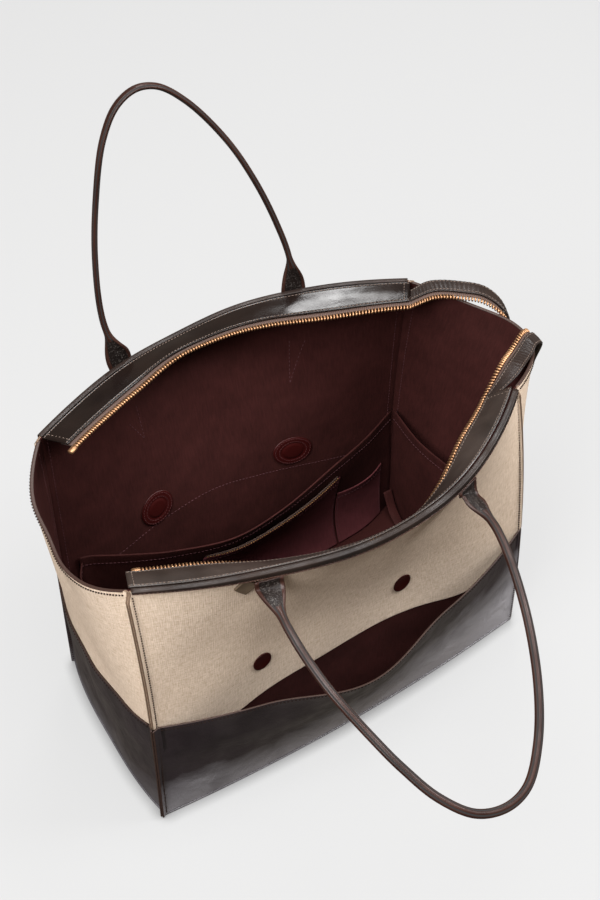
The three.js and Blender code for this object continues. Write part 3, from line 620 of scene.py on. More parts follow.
# The turned edge of the canvas shows as a darker brown line along the seams.
canvas_edge = plain_finish("turned canvas edge", "#5a4636", 0.85)
upper_rows = rises(46, PANEL_HEIGHT - CANVAS_FOOT)
canvas_runs = []
for wall_name in WALLS:
    foot = foot_line if wall_name == "front" else level(CANVAS_FOOT)
    faces_pair = [wall_face(wall_name, upper_rows, foot, level(PANEL_HEIGHT), level(offset),
                            raised_end(shown=canvas_welt)) for offset in (CANVAS_OUT, CANVAS_IN)]
    panel = sheet_mesh(wall_name + "_upper_wall", *faces_pair, [canvas, canvas_edge])
    settle(panel, "canvas", wall_name + "_canvas")
    declare_cloth(panel, faces_pair[0], "stretched", wall_name + "_leather")
    for end in (-1.0, 1.0):
        canvas_runs.append(welt_run(wall_name, end, LEATHER_HEIGHT, PANEL_HEIGHT - RIM_SEWN_GAP,
                                    level(CANVAS_OUT), from_corner=1.5))
    if wall_name in ("left", "right"):
        span = np.linspace(-RIM_SEWN_END, RIM_SEWN_END, 90)
        canvas_runs.append(wall_run(wall_name, span, PANEL_HEIGHT - TOP_STITCH, CANVAS_OUT))
canvas_stitches = stitch_mesh("upper_wall_stitches", canvas_runs, dark_thread, pitch=3.0, thread=0.85)
settle(canvas_stitches, "trim")

# Lining: dark burgundy cotton 1 mm thick, behind the open front pocket, on the four walls and the floor.
# It is sewn into the corner seams and the rim, and lies flat on the base.
LINING = 1.0
LINING_OUT = -SEAM_GAP
LINING_IN = LINING_OUT - LINING
LINING_FOOT = 4.0
SEAM_FOOT = 12.0
SEAM_TOP_GAP = 6.0
SEAM_PLACE = {"front": 0.965, "right": 0.93, "back": 0.965, "left": 0.93}
BACK_SEAM_END = 0.95
POCKET_END = 0.875
POCKET_TOP_GAP = 1.0
# A seam across the back lining climbs to its middle.
seam_rise = {"at": [-0.95, -0.7, -0.4, -0.21, 0.1, 0.36, 0.65, 0.95],
             "z": [84, 95, 112, 122, 135, 131, 120, 108]}
# The back handle's feet are sewn through the wall, and their stitching shows inside as narrow points.
foot_marks = [{"tip": (-0.41, 217), "tops": [(-0.44, 264), (-0.52, 260)]},
              {"tip": (0.433, 234), "tops": [(0.44, 271), (0.5, 258)]}]


def lining_cloth(name, dark, light):
    """Burgundy lining: a soft cotton with faint cross threads, drawn 1.6 mm apart so that they show."""
    material, tree, shader = new_material(name, {"Roughness": 0.8, "Specular IOR Level": 0.1})
    cloth = add_node(tree, "TexCoord", "UV")
    along = add_node(tree, "Mapping", "Vector", {"Vector": cloth, "Scale": (1.0, 0.12, 1.0)})
    streaks = add_node(tree, "TexNoise", "Fac", {"Vector": along, "Scale": per_metre(1.6)})
    blotches = add_node(tree, "TexNoise", "Fac", {"Vector": cloth, "Scale": per_metre(25), "Detail": 4.0})
    threads = add_node(tree, "Math", "Value", {0: streaks, 1: blotches}, operation="ADD")
    tone = add_node(tree, "MapRange", "Result", {"Value": threads, "From Min": 0.7, "From Max": 1.3})
    slack = add_node(tree, "TexNoise", "Fac", {"Vector": cloth, "Scale": per_metre(34), "Detail": 3.0})
    feed(tree, shader, {"Base Color": layered(tree, dark, (tone, light)),
                        "Normal": relief(tree, (slack, 1.2), (threads, 0.12))})
    return material


def read_table(at, knots, values):
    """Smooth value between table rows: a cubic through them, its slopes from the rows on either side."""
    order = np.argsort(knots)
    knots, values = np.asarray(knots, float)[order], np.asarray(values, float)[order]
    row = np.arange(len(knots))
    low, high = np.maximum(row - 1, 0), np.minimum(row + 1, len(knots) - 1)
    slope = (values[high] - values[low]) / (knots[high] - knots[low])
    i = np.clip(np.searchsorted(knots, at, side="right") - 1, 0, len(knots) - 2)
    width = knots[i + 1] - knots[i]
    t = np.clip((at - knots[i]) / width, 0, 1)
    start = (1 + 2 * t) * (1 - t) ** 2 * values[i] + t * (1 - t) ** 2 * width * slope[i]
    return start + t * t * (3 - 2 * t) * values[i + 1] + t * t * (t - 1) * width * slope[i + 1]


def inside_run(wall_name, s, z, offset):
    """A run of stitching on the inner side of a wall: its points and the wall's inward ways."""
    line, outward = wall_run(wall_name, s, z, offset)
    return line, -outward


lining = lining_cloth("burgundy lining", "#250d0b", "#301412")
# Paler thread holds the lining's seams.
lining_thread = plain_finish("burgundy thread", "#43292c", 0.9, 0.1)
inside_rows = rises(58, PANEL_HEIGHT)
lining_runs = []
for wall_name in WALLS:
    faces_pair = [wall_face(wall_name, inside_rows, level(LINING_FOOT), level(PANEL_HEIGHT), level(offset))
                  for offset in (LINING_OUT, LINING_IN)]
    panel = sheet_mesh(wall_name + "_wall_lining", *faces_pair, [lining, lining])
    settle(panel, "lining", wall_name + "_lining")
    declare_cloth(panel, faces_pair[1], "stretched", wall_name + "_canvas")
    tall = np.linspace(SEAM_FOOT, PANEL_HEIGHT - SEAM_TOP_GAP, 120)
    for s in (-SEAM_PLACE[wall_name], SEAM_PLACE[wall_name]):
        lining_runs.append(inside_run(wall_name, np.full_like(tall, s), tall, LINING_IN))
span = np.linspace(-BACK_SEAM_END, BACK_SEAM_END, 160)
lining_runs.append(inside_run("back", span, read_table(span, seam_rise["at"], seam_rise["z"]), LINING_IN))
for mark in foot_marks:
    for top in mark["tops"]:
        s, z = (np.linspace(start, stop, 16) for start, stop in zip(top, mark["tip"]))
        lining_runs.append(inside_run("back", s, z, LINING_IN))
pocket_span = np.linspace(-POCKET_END, POCKET_END, 80)
pocket_height = foot_line(pocket_span) - POCKET_TOP_GAP - LINING_FOOT
pocket_rows = LINING_FOOT + rises(24, 100)[:, None] * pocket_height
pocket_faces = [wall_point("front", pocket_span, pocket_rows, np.full_like(pocket_rows, offset))
                for offset in (CANVAS_IN + LINING, CANVAS_IN)]
front_pocket = sheet_mesh("front_pocket_lining", *pocket_faces, [lining, lining])
settle(front_pocket, "lining", "pocket_lining")
declare_cloth(front_pocket, pocket_faces[0], "stretched", "front_canvas")
floor_profile = [(0.6, FLOOR_ROW), (0.1, 2.5), (0.0, 2.9), (0.1, 3.4), (0.6, 3.6)]
floor_plan = outline(FLOOR_ROW, LINING_OUT, WALLS)
floor_cloth = bar_mesh("floor_cloth", plate_rings(floor_plan, floor_profile), [lining])
settle(floor_cloth, "lining", "floor_lining")
lining_stitches = stitch_mesh("lining_stitches", lining_runs, lining_thread, pitch=4.0, thread=0.36)
settle(lining_stitches, "lining")

# Inner walls: three loose walls of lining with a hemmed free edge, making side and back pockets.
# They are caught in the corner seams and at the floor, and sag a little between them.
BACK_MIDDLE = 12.0
BACK_HALF = 180.0
HEM = 0.5
HEM_FOOT = 0.915
HEM_LINE = 0.925
HEM_FULL = 0.93
HEM_BEHIND = 0.4
HEM_SEWN = 0.45
# Each wall has its way into the bag, its slack, and at places along it its free edge, that edge's height
# and its foot.
inner_walls = {
    "inner_back": {"into": -1, "slack": 11, "at": [-168, -158, -127, -88, -30, 30, 102, 150, 192],
                   "edge": [94, 93, 80, 61, 43, 48, 66, 79, 95],
                   "height": [146, 144, 138, 136, 135, 135, 137, 138, 140],
                   "foot": [89, 88, 80, 75, 72, 71, 72, 76, 90]},
    "inner_right": {"into": -1, "slack": 0, "at": [92, 46, 4, -42, -84], "edge": [196, 192, 196, 200, 196],
                    "height": [140, 137, 136, 138, 140], "foot": [194, 190, 189, 190, 192]},
    "inner_left": {"into": 1, "slack": 0, "at": [-84, -40, 6, 50, 78, 90],
                   "edge": [-196, -193, -186, -181, -176, -168],
                   "height": [140, 138, 137, 138, 139, 142], "foot": [-192, -188, -184, -182, -182, -180]},
}


def inner_point(node, at, rise, depth):
    """Point of an inner wall: from foot to edge as rise to the power 1.6, rippled, and slack low down."""
    wall = inner_walls[node]
    at, rise = np.broadcast_arrays(np.asarray(at, float), np.asarray(rise, float))
    edge, height, foot = (read_table(at, wall["at"], wall[key]) for key in ("edge", "height", "foot"))
    ripple = 0.8 * np.sin(at / 17) * np.sin(np.pi * rise)
    # The factor 6.75 brings the highest value of rise times (1 - rise) squared to one.
    belly = 6.75 * rise * (1 - rise) ** 2 * (1 - ((at - BACK_MIDDLE) / BACK_HALF) ** 4)
    out = foot + (edge - foot) * rise ** 1.6 + ripple + depth + wall["slack"] * belly
    up = LINING_FOOT + (height - LINING_FOOT) * rise
    return np.stack([at, out, up] if node == "inner_back" else [out, at, up], -1)


def even_run(line, way):
    """A run of stitching on a face that looks the same way all along."""
    return line, np.tile(way, (len(line), 1))


inner_runs = []
for node, wall in inner_walls.items():
    into = wall["into"]
    at = np.linspace(wall["at"][0], wall["at"][-1], 70)
    rise = rises(30, 135)[:, None]
    hem = HEM * smooth(rise, HEM_FOOT, HEM_FULL)
    depths = (into * (LINING + hem), -into * hem * HEM_BEHIND)
    faces_pair = [inner_point(node, at, rise, depth) for depth in depths]
    inner_wall = sheet_mesh(node + "_wall", *faces_pair, [lining, lining])
    settle(inner_wall, "lining", node)
    declare_cloth(inner_wall, faces_pair[0], "hung", "floor_lining")
    hem_way = [0.0, into, 0.3] if node == "inner_back" else [into, 0.0, 0.3]
    inner_runs.append(even_run(inner_point(node, at, HEM_LINE, into * (LINING + HEM_SEWN)), hem_way))

# Patch pockets on the inner back wall: a zipped one, and a slip pocket whose mouth sags open.
# Both are lining cloth with a turned hem, sewn on round three sides.
POCKET_SKIN = 1.9
POCKET_FOOT = 0.02
SIDE_INSET = 1.5
SIDE_SEWN_FOOT = 0.03
POCKET_HEM = 0.45
POCKET_HEM_FOOT = 0.06
POCKET_HEM_LINE = 0.055
POCKET_HEM_FULL = 0.05
POCKET_HEM_SEWN = 0.4
FACE_WAY = np.array([0.0, -1.0, 0.3])
# The pockets are of the same lining, painted paler to stand for the light on their faces.
pocket_cloth_painted_lit = lining_cloth("burgundy lining painted paler as if lit", "#432022", "#51282b")
patch_pockets = {"zip_pocket": {"left": -56, "right": 112, "top": 0.8, "swell": 5},
                 "slip_pocket": {"left": 115, "right": 176, "top": 0.56, "swell": 5}}


def pocket_point(size, x, rise, depth):
    """Point of a patch pocket: the inner wall moved in, bellied across as one minus share squared."""
    share = 2 * (x - size["left"]) / (size["right"] - size["left"]) - 1
    swell = size["swell"] * (1 - share * share) * (rise / size["top"]) ** 2
    return inner_point("inner_back", x, rise, -(POCKET_SKIN + swell + depth))


for node, size in patch_pockets.items():
    x = np.linspace(size["left"], size["right"], 48)
    rise = POCKET_FOOT + rises(24, 100)[:, None] * (size["top"] - POCKET_FOOT)
    hem = POCKET_HEM * smooth(rise, size["top"] - POCKET_HEM_FOOT, size["top"] - POCKET_HEM_FULL)
    faces_pair = [pocket_point(size, x, rise, depth) for depth in (LINING + hem, np.zeros_like(hem))]
    pouch = sheet_mesh(node + "_pouch", *faces_pair, [pocket_cloth_painted_lit, pocket_cloth_painted_lit])
    settle(pouch, "lining", node)
    declare_cloth(pouch, faces_pair[0], "hung", "inner_back")
    hem_rise = np.full_like(x, size["top"] - POCKET_HEM_LINE)
    hem_line = pocket_point(size, x, hem_rise, LINING + POCKET_HEM_SEWN)
    inner_runs.append(even_run(hem_line, FACE_WAY))
    up = np.linspace(SIDE_SEWN_FOOT, size["top"], 40)
    for edge in (size["left"] + SIDE_INSET, size["right"] - SIDE_INSET):
        inner_runs.append(even_run(pocket_point(size, np.full_like(up, edge), up, LINING), FACE_WAY))
inner_stitches = stitch_mesh("inner_wall_stitches", inner_runs, lining_thread, pitch=3.8, thread=0.36)
settle(inner_stitches, "lining")

# Pocket zip: small brass teeth standing along the top of the zipped pocket.
# They are clamped to a tape that is sewn behind the pocket's hem.
UP = np.array([0.0, 0.0, 1.0])
SMALL_PITCH = 2.6
SMALL_TOOTH = (1.5, 1.5, 1.6)
SMALL_TEETH_OUT = 1.3
SMALL_TEETH_UP = 1.4
TEETH_INSET = 3.0
TAPE_INSET = 2.0
SMALL_TAPE = 0.7
SMALL_TAPE_OUT = -0.4
SMALL_TAPE_SPAN = (-4.0, 2.0)


def brass_metal():
    """Polished brass: warm yellow metal with faint wear in its gloss."""
    inputs = {"Base Color": linear("#a37d5d"), "Metallic": 1.0}
    material, tree, shader = new_material("polished brass", inputs)
    place = add_node(tree, "TexCoord", "Object")
    feed(tree, shader, {"Roughness": mottle(tree, place, 3, 2.0, (0.3, 0.7), (0.42, 0.54))})
    return material


def tape_cloth():
    """Zip tape: woven dark red-brown ribbon with ribs along it, drawn 1.8 mm apart so that they show."""
    material, tree, shader = new_material("woven zip tape", {"Roughness": 0.85})
    cloth = add_node(tree, "TexCoord", "UV")
    ribs = add_node(tree, "TexWave", "Fac", {"Vector": cloth, "Scale": WAVE_BAND * per_metre(1.8)},
                    bands_direction="Y")
    feed(tree, shader, {"Base Color": layered(tree, "#30211c", (ribs, "#4a362c")),
                        "Normal": relief(tree, (ribs, 0.2))})
    return material


def tooth_mesh(name, centre, across, lift, sizes, material):
    """Zip teeth: one bevelled bar each, an octagon drawn through four rings that narrow at both ends."""
    way = unit(np.cross(across, lift))
    corners = np.radians(np.arange(22.5, 360, 45))
    ring = np.stack([np.cos(corners), np.sin(corners)]) / math.cos(math.radians(22.5))
    reach, length, height = sizes
    rings = []
    for place, scale in ((-0.5, 0.7), (-0.36, 1.0), (0.34, 1.0), (0.5, 0.62)):
        middle = centre + across * place * reach
        along, up = ring * np.array([[length], [height]]) * scale / 2
        rings.append(middle[:, None] + way[:, None] * along[:, None] + lift[:, None] * up[:, None])
    return rods_mesh(name, np.stack(rings, 1), ([0, 1, 2, 3], [0, 3, 4, 7], [4, 5, 6, 7]), material)


brass = brass_metal()
# The small zip has the same brass, dulled by handling.
dull_brass = plain_finish("dulled brass", "#7d5c3c", 0.5, metallic=1.0)
tape = tape_cloth()
size = patch_pockets["zip_pocket"]
x = np.arange(size["left"] + TEETH_INSET, size["right"] - TEETH_INSET, SMALL_PITCH)
teeth_line = pocket_point(size, x, np.full_like(x, size["top"]), SMALL_TEETH_OUT) + SMALL_TEETH_UP * UP
ways = [np.tile(way, (len(x), 1)) for way in (UP, [0.0, -1.0, 0.0])]
pocket_teeth = tooth_mesh("pocket_zip_teeth", teeth_line, *ways, SMALL_TOOTH, dull_brass)
settle(pocket_teeth, "brass", "pocket_zip")
x = np.linspace(size["left"] + TAPE_INSET, size["right"] - TAPE_INSET, 40)
tape_rows = np.linspace(*SMALL_TAPE_SPAN, 4)[:, None, None] * UP
tape_line = pocket_point(size, x, np.full_like(x, size["top"]), SMALL_TAPE_OUT) + tape_rows
tape_behind = tape_line + np.array([0, SMALL_TAPE, 0])
pocket_tape = sheet_mesh("pocket_zip_tape", tape_line, tape_behind, [tape, tape])
settle(pocket_tape, "tape")

# Key strap: a narrow doubled strip of lining from the back right corner, lying on the floor.
# Its upper end is caught in the corner seam.


def smooth_path(knots, t):
    """Centripetal Catmull-Rom curve through knots, at shares t of its spans."""
    knots = np.asarray(knots, float)
    knots = np.concatenate([[2 * knots[0] - knots[1]], knots, [2 * knots[-1] - knots[-2]]])
    spans = len(knots) - 3
    place = np.clip(np.asarray(t) * spans, 0, spans - 1e-9)
    i = place.astype(int)
    w = (place - i)[:, None]
    a, b, c, d = (knots[i + k] for k in range(4))
    ab, bc, cd = (np.sqrt(np.linalg.norm(step, axis=-1, keepdims=True)) for step in (b - a, c - b, d - c))
    leave = ((b - a) / ab - (c - a) / (ab + bc) + (c - b) / bc) * bc
    arrive = ((c - b) / bc - (d - b) / (bc + cd) + (d - c) / cd) * bc
    bend = -3 * b + 3 * c - 2 * leave - arrive
    return b + w * (leave + w * (bend + w * (2 * b - 2 * c + leave + arrive)))


strap_knots = [(184, 82, 34), (183, 68, 14), (182, 52, 5.2), (181, 34, 4.2)]
strap_path = smooth_path(strap_knots, np.linspace(0, 1, 30))
strap_profile = np.array([(-5, 0.3), (-4.7, 0), (4.7, 0), (5, 0.3),
                          (5, 1.1), (4.7, 1.4), (-4.7, 1.4), (-5, 1.1)])
strap_rings = strap_path[:, None] + strap_profile @ np.array([[1.0, 0, 0], UP])
key_strap = bar_mesh("key_strap_strip", strap_rings, [lining], flat=True)
settle(key_strap, "lining", "key_strap")

# Rim: a brown leather binding folded over the front and back walls, edge paint on the gusset rims.
# The binding is sewn through near its lower edge; the gusset rims are only sealed and top-stitched.
RIM_END = 0.992
PIPING_RADIUS = 0.6
# The bands and bindings are waxed dark brown, and the thin piping is a lighter brown.
band_leather = polished_leather("waxed band leather", "#16100e", "#261d19", (0.36, 0.5), (0.15, 0.3),
                                0.25, 0.06)
trim = polished_leather("brown trim leather", "#35241f", "#4e372f", (0.34, 0.48), (0.2, 0.4), 0.25, 0.06)
# Each profile is a row of points out from the wall and up from its rim.
binding_profile = np.array([(2.35, 0.3), (2.35, -5), (2.55, -5.25), (3.15, -5.25), (3.4, -5), (3.45, -3.6),
                            (3.3, -3.2), (3.5, -2.6), (3.5, 0.7), (3.2, 1.25), (2.6, 1.5), (-1.0, 1.5),
                            (-1.5, 1.2), (-1.6, 0.3)])
bead_profile = np.array([(-1.4, -0.3), (1.7, -0.3), (1.75, 0.2), (1.3, 0.6), (0.2, 0.8), (-1.0, 0.6),
                         (-1.45, 0.2)])
piping_turn = np.arange(8) * np.pi / 4
piping_profile = PIPING_RADIUS * np.stack([np.cos(piping_turn), np.sin(piping_turn)], -1)
piping_place = (3.2, -5.0)
binding_sewn = (3.4, -3.4)


def rim_frames(wall_name, s):
    """Frames along a wall's rim: its points, its outward ways and the way up."""
    normal = seam_normal(wall_name, s, np.full_like(s, PANEL_HEIGHT))
    outward = np.column_stack([normal, np.zeros(len(s))])
    return np.stack([wall_point(wall_name, s, PANEL_HEIGHT, 0.0), outward, np.tile(UP, (len(s), 1))], 1)


def along_frames(frames, across, lift):
    """Points at distances along the second and third vectors of a row of frames."""
    across, lift = np.broadcast_arrays(np.asarray(across, float), np.asarray(lift, float))
    return frames[:, None, 0] + across[..., None] * frames[:, None, 1] + lift[..., None] * frames[:, None, 2]


binding_runs = []
for wall_name in ("front", "back"):
    at = np.linspace(-RIM_END, RIM_END, 150)
    frames = rim_frames(wall_name, at)
    # The front binding is folded down less and less towards the left corner.
    fold = 0.2 + 0.8 * smooth(at, -1, -0.3) if wall_name == "front" else np.ones_like(at)
    fold = fold[:, None]
    out, up = binding_profile.T
    rings = along_frames(frames, out, np.where(up < 0, fold * up, up))
    binding = bar_mesh(wall_name + "_rim_binding", rings, [band_leather], flat=True)
    settle(binding, "trim", wall_name + "_binding")
    out, up = piping_profile.T
    rings = along_frames(frames, piping_place[0] + out, piping_place[1] * fold + up)
    piping = bar_mesh(wall_name + "_rim_piping", rings, [trim])
    settle(piping, "trim")
    binding_runs.append((along_frames(frames, binding_sewn[0], binding_sewn[1] * fold)[:, 0], frames[:, 1]))
binding_stitches = stitch_mesh("binding_stitches", binding_runs, dark_thread)
settle(binding_stitches, "trim")
for wall_name in ("left", "right"):
    frames = rim_frames(wall_name, np.linspace(-SEWN_END, SEWN_END, 90))
    bead = bar_mesh(wall_name + "_rim_edge", along_frames(frames, *bead_profile.T), [edge_paint])
    settle(bead, "trim")

# Collars: padded bands of polished calf reaching in from the front and back rims to carry the zip.
# They are sewn along both edges and across their ends.
COLLAR_WIDTH = 26.0
COLLAR_ROOT = LINING_IN - 4 * SEAM_GAP
BAND_EDGE = COLLAR_WIDTH + 2.0
BAND_SEWN = 2.2
COLLAR_SUNK = 0.28
END_INSET = 2.5
END_LIFT = 0.2
# The collars are one leather in a lit and a shaded copy: the front one is painted paler, with a softer sheen;
# the back one is painted darker and is glossier.
collar_leathers = {
    "front": polished_leather("collar leather painted paler as if lit", "#1c1613", "#2e2622", (0.3, 0.42), (0.3, 0.5),
                              0.25, 0.06),
    "back": polished_leather("glossy collar leather painted darker as if shaded", "#0c0706", "#17100d", (0.17, 0.25), (0.22, 0.36),
                             0.2, 0.04),
}
# Each collar has its left end, where its zip starts, and its downward slope in degrees at places along it.
collars = {
    "front": {"stop_end": -1.0, "zip_start": -0.94, "at": [-1, -0.7, -0.4, 0, 0.25, 0.5, 0.75, 1],
              "slope": [24, 24, 41, 52, 59, 46, 31, 40]},
    "back": {"stop_end": 1.0, "zip_start": 0.995, "at": [-1, -0.65, -0.3, 0.05, 0.25, 0.55, 1],
             "slope": [-1, 8, -4, -18, -21, -9, -12]},
}


def collar_frames(wall_name, s):
    """Frames along a collar: its root on the rim, the way across it sloping down, and the way up from it."""
    rim, outward, _ = np.moveaxis(rim_frames(wall_name, s), 1, 0)
    slope = np.radians(read_table(s, collars[wall_name]["at"], collars[wall_name]["slope"]))[:, None]
    across = -outward * np.cos(slope) - UP * np.sin(slope)
    lift = -outward * np.sin(slope) + UP * np.cos(slope)
    return np.stack([rim + outward * COLLAR_ROOT, across, lift], 1)


def band_profile(start, stop, thick, crown):
    """Section of a sewn band: flat below, above it rounded edges, pressed stitch lines and a soft crown."""
    width = stop - start
    edge = np.linspace(0, 4, 13)
    top = np.concatenate([edge, np.linspace(4, width - 4, 7)[1:-1], width - edge[::-1]])
    near = np.minimum(top, width - top)
    height = thick - 0.7 * (1 - smooth(near, 0, 0.9)) - 0.3 * np.exp(-((near - BAND_SEWN) / 0.5) ** 2)
    height = height + crown * smooth(near, 2.4, width / 2)
    across = np.concatenate([start + top, [stop - 0.5, start + 0.5]])
    return across, np.concatenate([height, [0.0, 0.0]])


collar_runs = []
for wall_name, collar in collars.items():
    frames = collar_frames(wall_name, np.linspace(collar["stop_end"], -collar["stop_end"], 180))
    rings = along_frames(frames, *band_profile(0, BAND_EDGE, LEATHER, 0.5))
    band = bar_mesh(wall_name + "_collar_band", rings, [collar_leathers[wall_name]], flat=True)
    settle(band, "leather", wall_name + "_collar")
    for place in (BAND_SEWN, BAND_EDGE - BAND_SEWN):
        collar_runs.append((along_frames(frames, [place], [LEATHER - COLLAR_SUNK])[:, 0], frames[:, 2]))
    across = np.linspace(END_INSET, BAND_EDGE - END_INSET, 12)
    for end_frame in (frames[2], frames[-3]):
        end_line = along_frames(end_frame[None], across, LEATHER + END_LIFT)[0]
        collar_runs.append(even_run(end_line, end_frame[2]))

# Wings: the two zip halves run on past the panels, over the right rim and down outside it.
# A narrow puckered strip of the calf covers each tape, sewn along both edges.
WING_START = 12.0
WING_MIDDLE = (WING_START + BAND_EDGE) / 2
WING_JOIN = 0.006
WING_SUNK = 0.25
ZIP_REACH = 36.3
PUCKER = 0.17
PUCKER_LENGTH = 4.5
# Each row holds a point of the wing's outer edge, then one of its teeth.
wings = {
    "front": {"turn": 1, "rows": [(214, -66, 310, 203, -43, 306), (235, -53, 306, 226, -30, 303),
                                  (247, -46, 306, 248, -20, 306), (259, -40, 297, 262, -14, 297),
                                  (256, -36, 274, 259, -10, 274), (251, -35, 246, 252, -9, 246)]},
    "back": {"turn": -1, "rows": [(221, 82, 309, 211, 57, 309), (246, 68, 306, 231, 46, 306),
                                  (264, 51, 301, 248, 32, 303), (273, 36, 288, 261, 12, 290),
                                  (268, 26, 266, 260, -1, 268), (255, 20, 246, 252, -6, 246)]},
}


def wing_frames(wall_name, t):
    """Frames along a wing: from curves through its outer edge and its teeth."""
    start = collar_frames(wall_name, np.array([-collars[wall_name]["stop_end"]]))
    rows = np.array(wings[wall_name]["rows"], float)
    outer = smooth_path(np.concatenate([along_frames(start, [WING_START], [0])[0], rows[:, :3]]), t)
    knots = np.concatenate([along_frames(start, [ZIP_REACH], [0])[0], rows[:, 3:]])
    teeth = smooth_path(knots, t)
    way = unit(smooth_path(knots, np.minimum(t + 1e-3, 1)) - smooth_path(knots, np.maximum(t - 1e-3, 0)))
    across = unit(teeth - outer)
    lift = unit(np.cross(way, across)) * wings[wall_name]["turn"]
    return np.stack([teeth - across * ZIP_REACH, across, lift], 1)


for wall_name in wings:
    frames = wing_frames(wall_name, np.linspace(WING_JOIN, 1, 150))
    across, height = band_profile(WING_START, BAND_EDGE, LEATHER, 0.3)
    length = run_lengths(frames[:, 0] + frames[:, 1] * WING_MIDDLE)[:, None]
    pucker = PUCKER * np.sin(2 * np.pi * length / PUCKER_LENGTH) * smooth(height, 1.0, 1.6)
    rings = along_frames(frames, across, height + pucker)
    band = bar_mesh(wall_name + "_wing_band", rings, [band_leather], flat=True)
    settle(band, "leather", wall_name + "_wing")
    for place in (WING_START + BAND_SEWN, BAND_EDGE - BAND_SEWN):
        collar_runs.append((along_frames(frames, [place], [LEATHER - WING_SUNK])[:, 0], frames[:, 2]))
# A browner thread shows faintly along the collars.
brown_thread = plain_finish("brown waxed thread", "#5b4e46", 0.85, 0.2)
collar_stitches = stitch_mesh("collar_stitches", collar_runs, brown_thread, thread=0.38)
settle(collar_stitches, "trim")

# Main zip: woven tape under the collar's edge, brass teeth clamped along it one by one.
# A brass block stops each half at the left; a plain leather tab joins the halves outside the right wall.
TAPE_START = 19.0
TAPE_END = 31.0
TEETH_PLACE = TAPE_END + 2.8
TEETH_MIDDLE = -1.5
TEETH_WIDTH = 5.0
TEETH_HEIGHT = 3.2
TOOTH_LENGTH = 1.9
TOOTH_PITCH = 3.0
STOP_LENGTH = 8.0
TAB_PLACE = np.array([252.0, -7.5, 230.5])
TAB_SIZE = (44, 30)
TAB_SEWN = (19, 12)


def rounded_box(width, height, bevel):
    """Corners of a rectangle with bevelled corners about its centre, as two columns."""
    x, y = width / 2, height / 2
    corners = [(x, y - bevel), (x - bevel, y), (bevel - x, y), (-x, y - bevel),
               (-x, bevel - y), (bevel - x, -y), (x - bevel, -y), (x, bevel - y)]
    return np.array(corners)


tape_across = np.array([TAPE_START, TAPE_END - 0.8, TAPE_END, TAPE_END, TAPE_END - 0.8, TAPE_START])
tape_lift = np.array([-2.0, -2.2, -1.9, -1.1, -0.8, -1.0])
stop_section = rounded_box(TEETH_WIDTH + 0.9, TEETH_HEIGHT + 0.6, 1.1)
stop_steps = ((SEAM_GAP, 0.8), (0.9, 1.0), (STOP_LENGTH - 0.9, 1.0), (STOP_LENGTH, 0.72))
for wall_name, collar in collars.items():
    rim_part = collar_frames(wall_name, np.linspace(collar["zip_start"], -collar["stop_end"], 200))
    frames = np.concatenate([rim_part, wing_frames(wall_name, np.linspace(0, 1, 120))[1:]])
    ribbon = bar_mesh(wall_name + "_tape", along_frames(frames, tape_across, tape_lift), [tape], flat=True)
    settle(ribbon, "tape", wall_name + "_zip_tape")
    middle = along_frames(frames, [TEETH_PLACE], [TEETH_MIDDLE])[:, 0]
    lengths = run_lengths(middle)
    at = np.arange(TOOTH_PITCH / 2, lengths[-1], TOOTH_PITCH)
    across, lift = (unit(sample(frames[:, k], lengths, at)) for k in (1, 2))
    teeth = tooth_mesh(wall_name + "_teeth", sample(middle, lengths, at), across, lift,
                       (TEETH_WIDTH, TOOTH_LENGTH, TEETH_HEIGHT), brass)
    settle(teeth, "brass", wall_name + "_zip_teeth")
    end = collar_frames(wall_name, np.array([collar["zip_start"]]))
    way = unit(np.cross(end[0, 1], end[0, 2]))
    way = way * -np.sign(way[0])
    rings = []
    for reach, scale in stop_steps:
        across, lift = (stop_section * scale).T
        rings.append(along_frames(end, TEETH_PLACE + across, TEETH_MIDDLE + lift)[0] + way * reach)
    stop = bar_mesh(wall_name + "_stop", np.stack(rings), [brass])
    settle(stop, "brass", wall_name + "_zip_stop")
tab_section = rounded_box(*TAB_SIZE, 3)
tab_rings = [TAB_PLACE + np.column_stack([np.full(8, x), tab_section * scale])
             for x, scale in ((-2, 0.96), (-1.5, 1.0), (1.5, 1.0), (2, 0.96))]
zip_tab = bar_mesh("zip_end_tab", np.stack(tab_rings), [calf])
settle(zip_tab, "leather", "zip_end")
tab_line = np.array([(-1, -1), (1, -1), (1, 1), (-1, 1), (-1, -1)]) * TAB_SEWN
tab_runs = [even_run(TAB_PLACE + np.column_stack([np.full(5, x), tab_line]), [np.sign(x), 0.0, 0.0])
            for x in (-2.0, 2.0)]
tab_stitches = stitch_mesh("zip_end_stitches", tab_runs, brown_thread)
settle(tab_stitches, "trim")

# Handles: two rolled leather straps with a sewn groove, flattened into spade feet with piped rims.
# The feet are sewn to the canvas under the binding; the front handle has fallen forward.
SPADE_WIDTH = 25.0
SPADE_THICK = 3.0
SPADE_TAPER = 36.0
LOOP_OUT = 4.0
SPADE_CORE = 0.72
PIPING_AT = 0.88
PIPING_SPREAD = 0.1
GROOVE_DEPTH = 0.13
GROOVE_AT = 0.55
GROOVE_SPREAD = 0.16
DARK_GROOVE_AT = 0.59
DARK_GROOVE_REACH = 0.15
SECTION_POINTS = 32
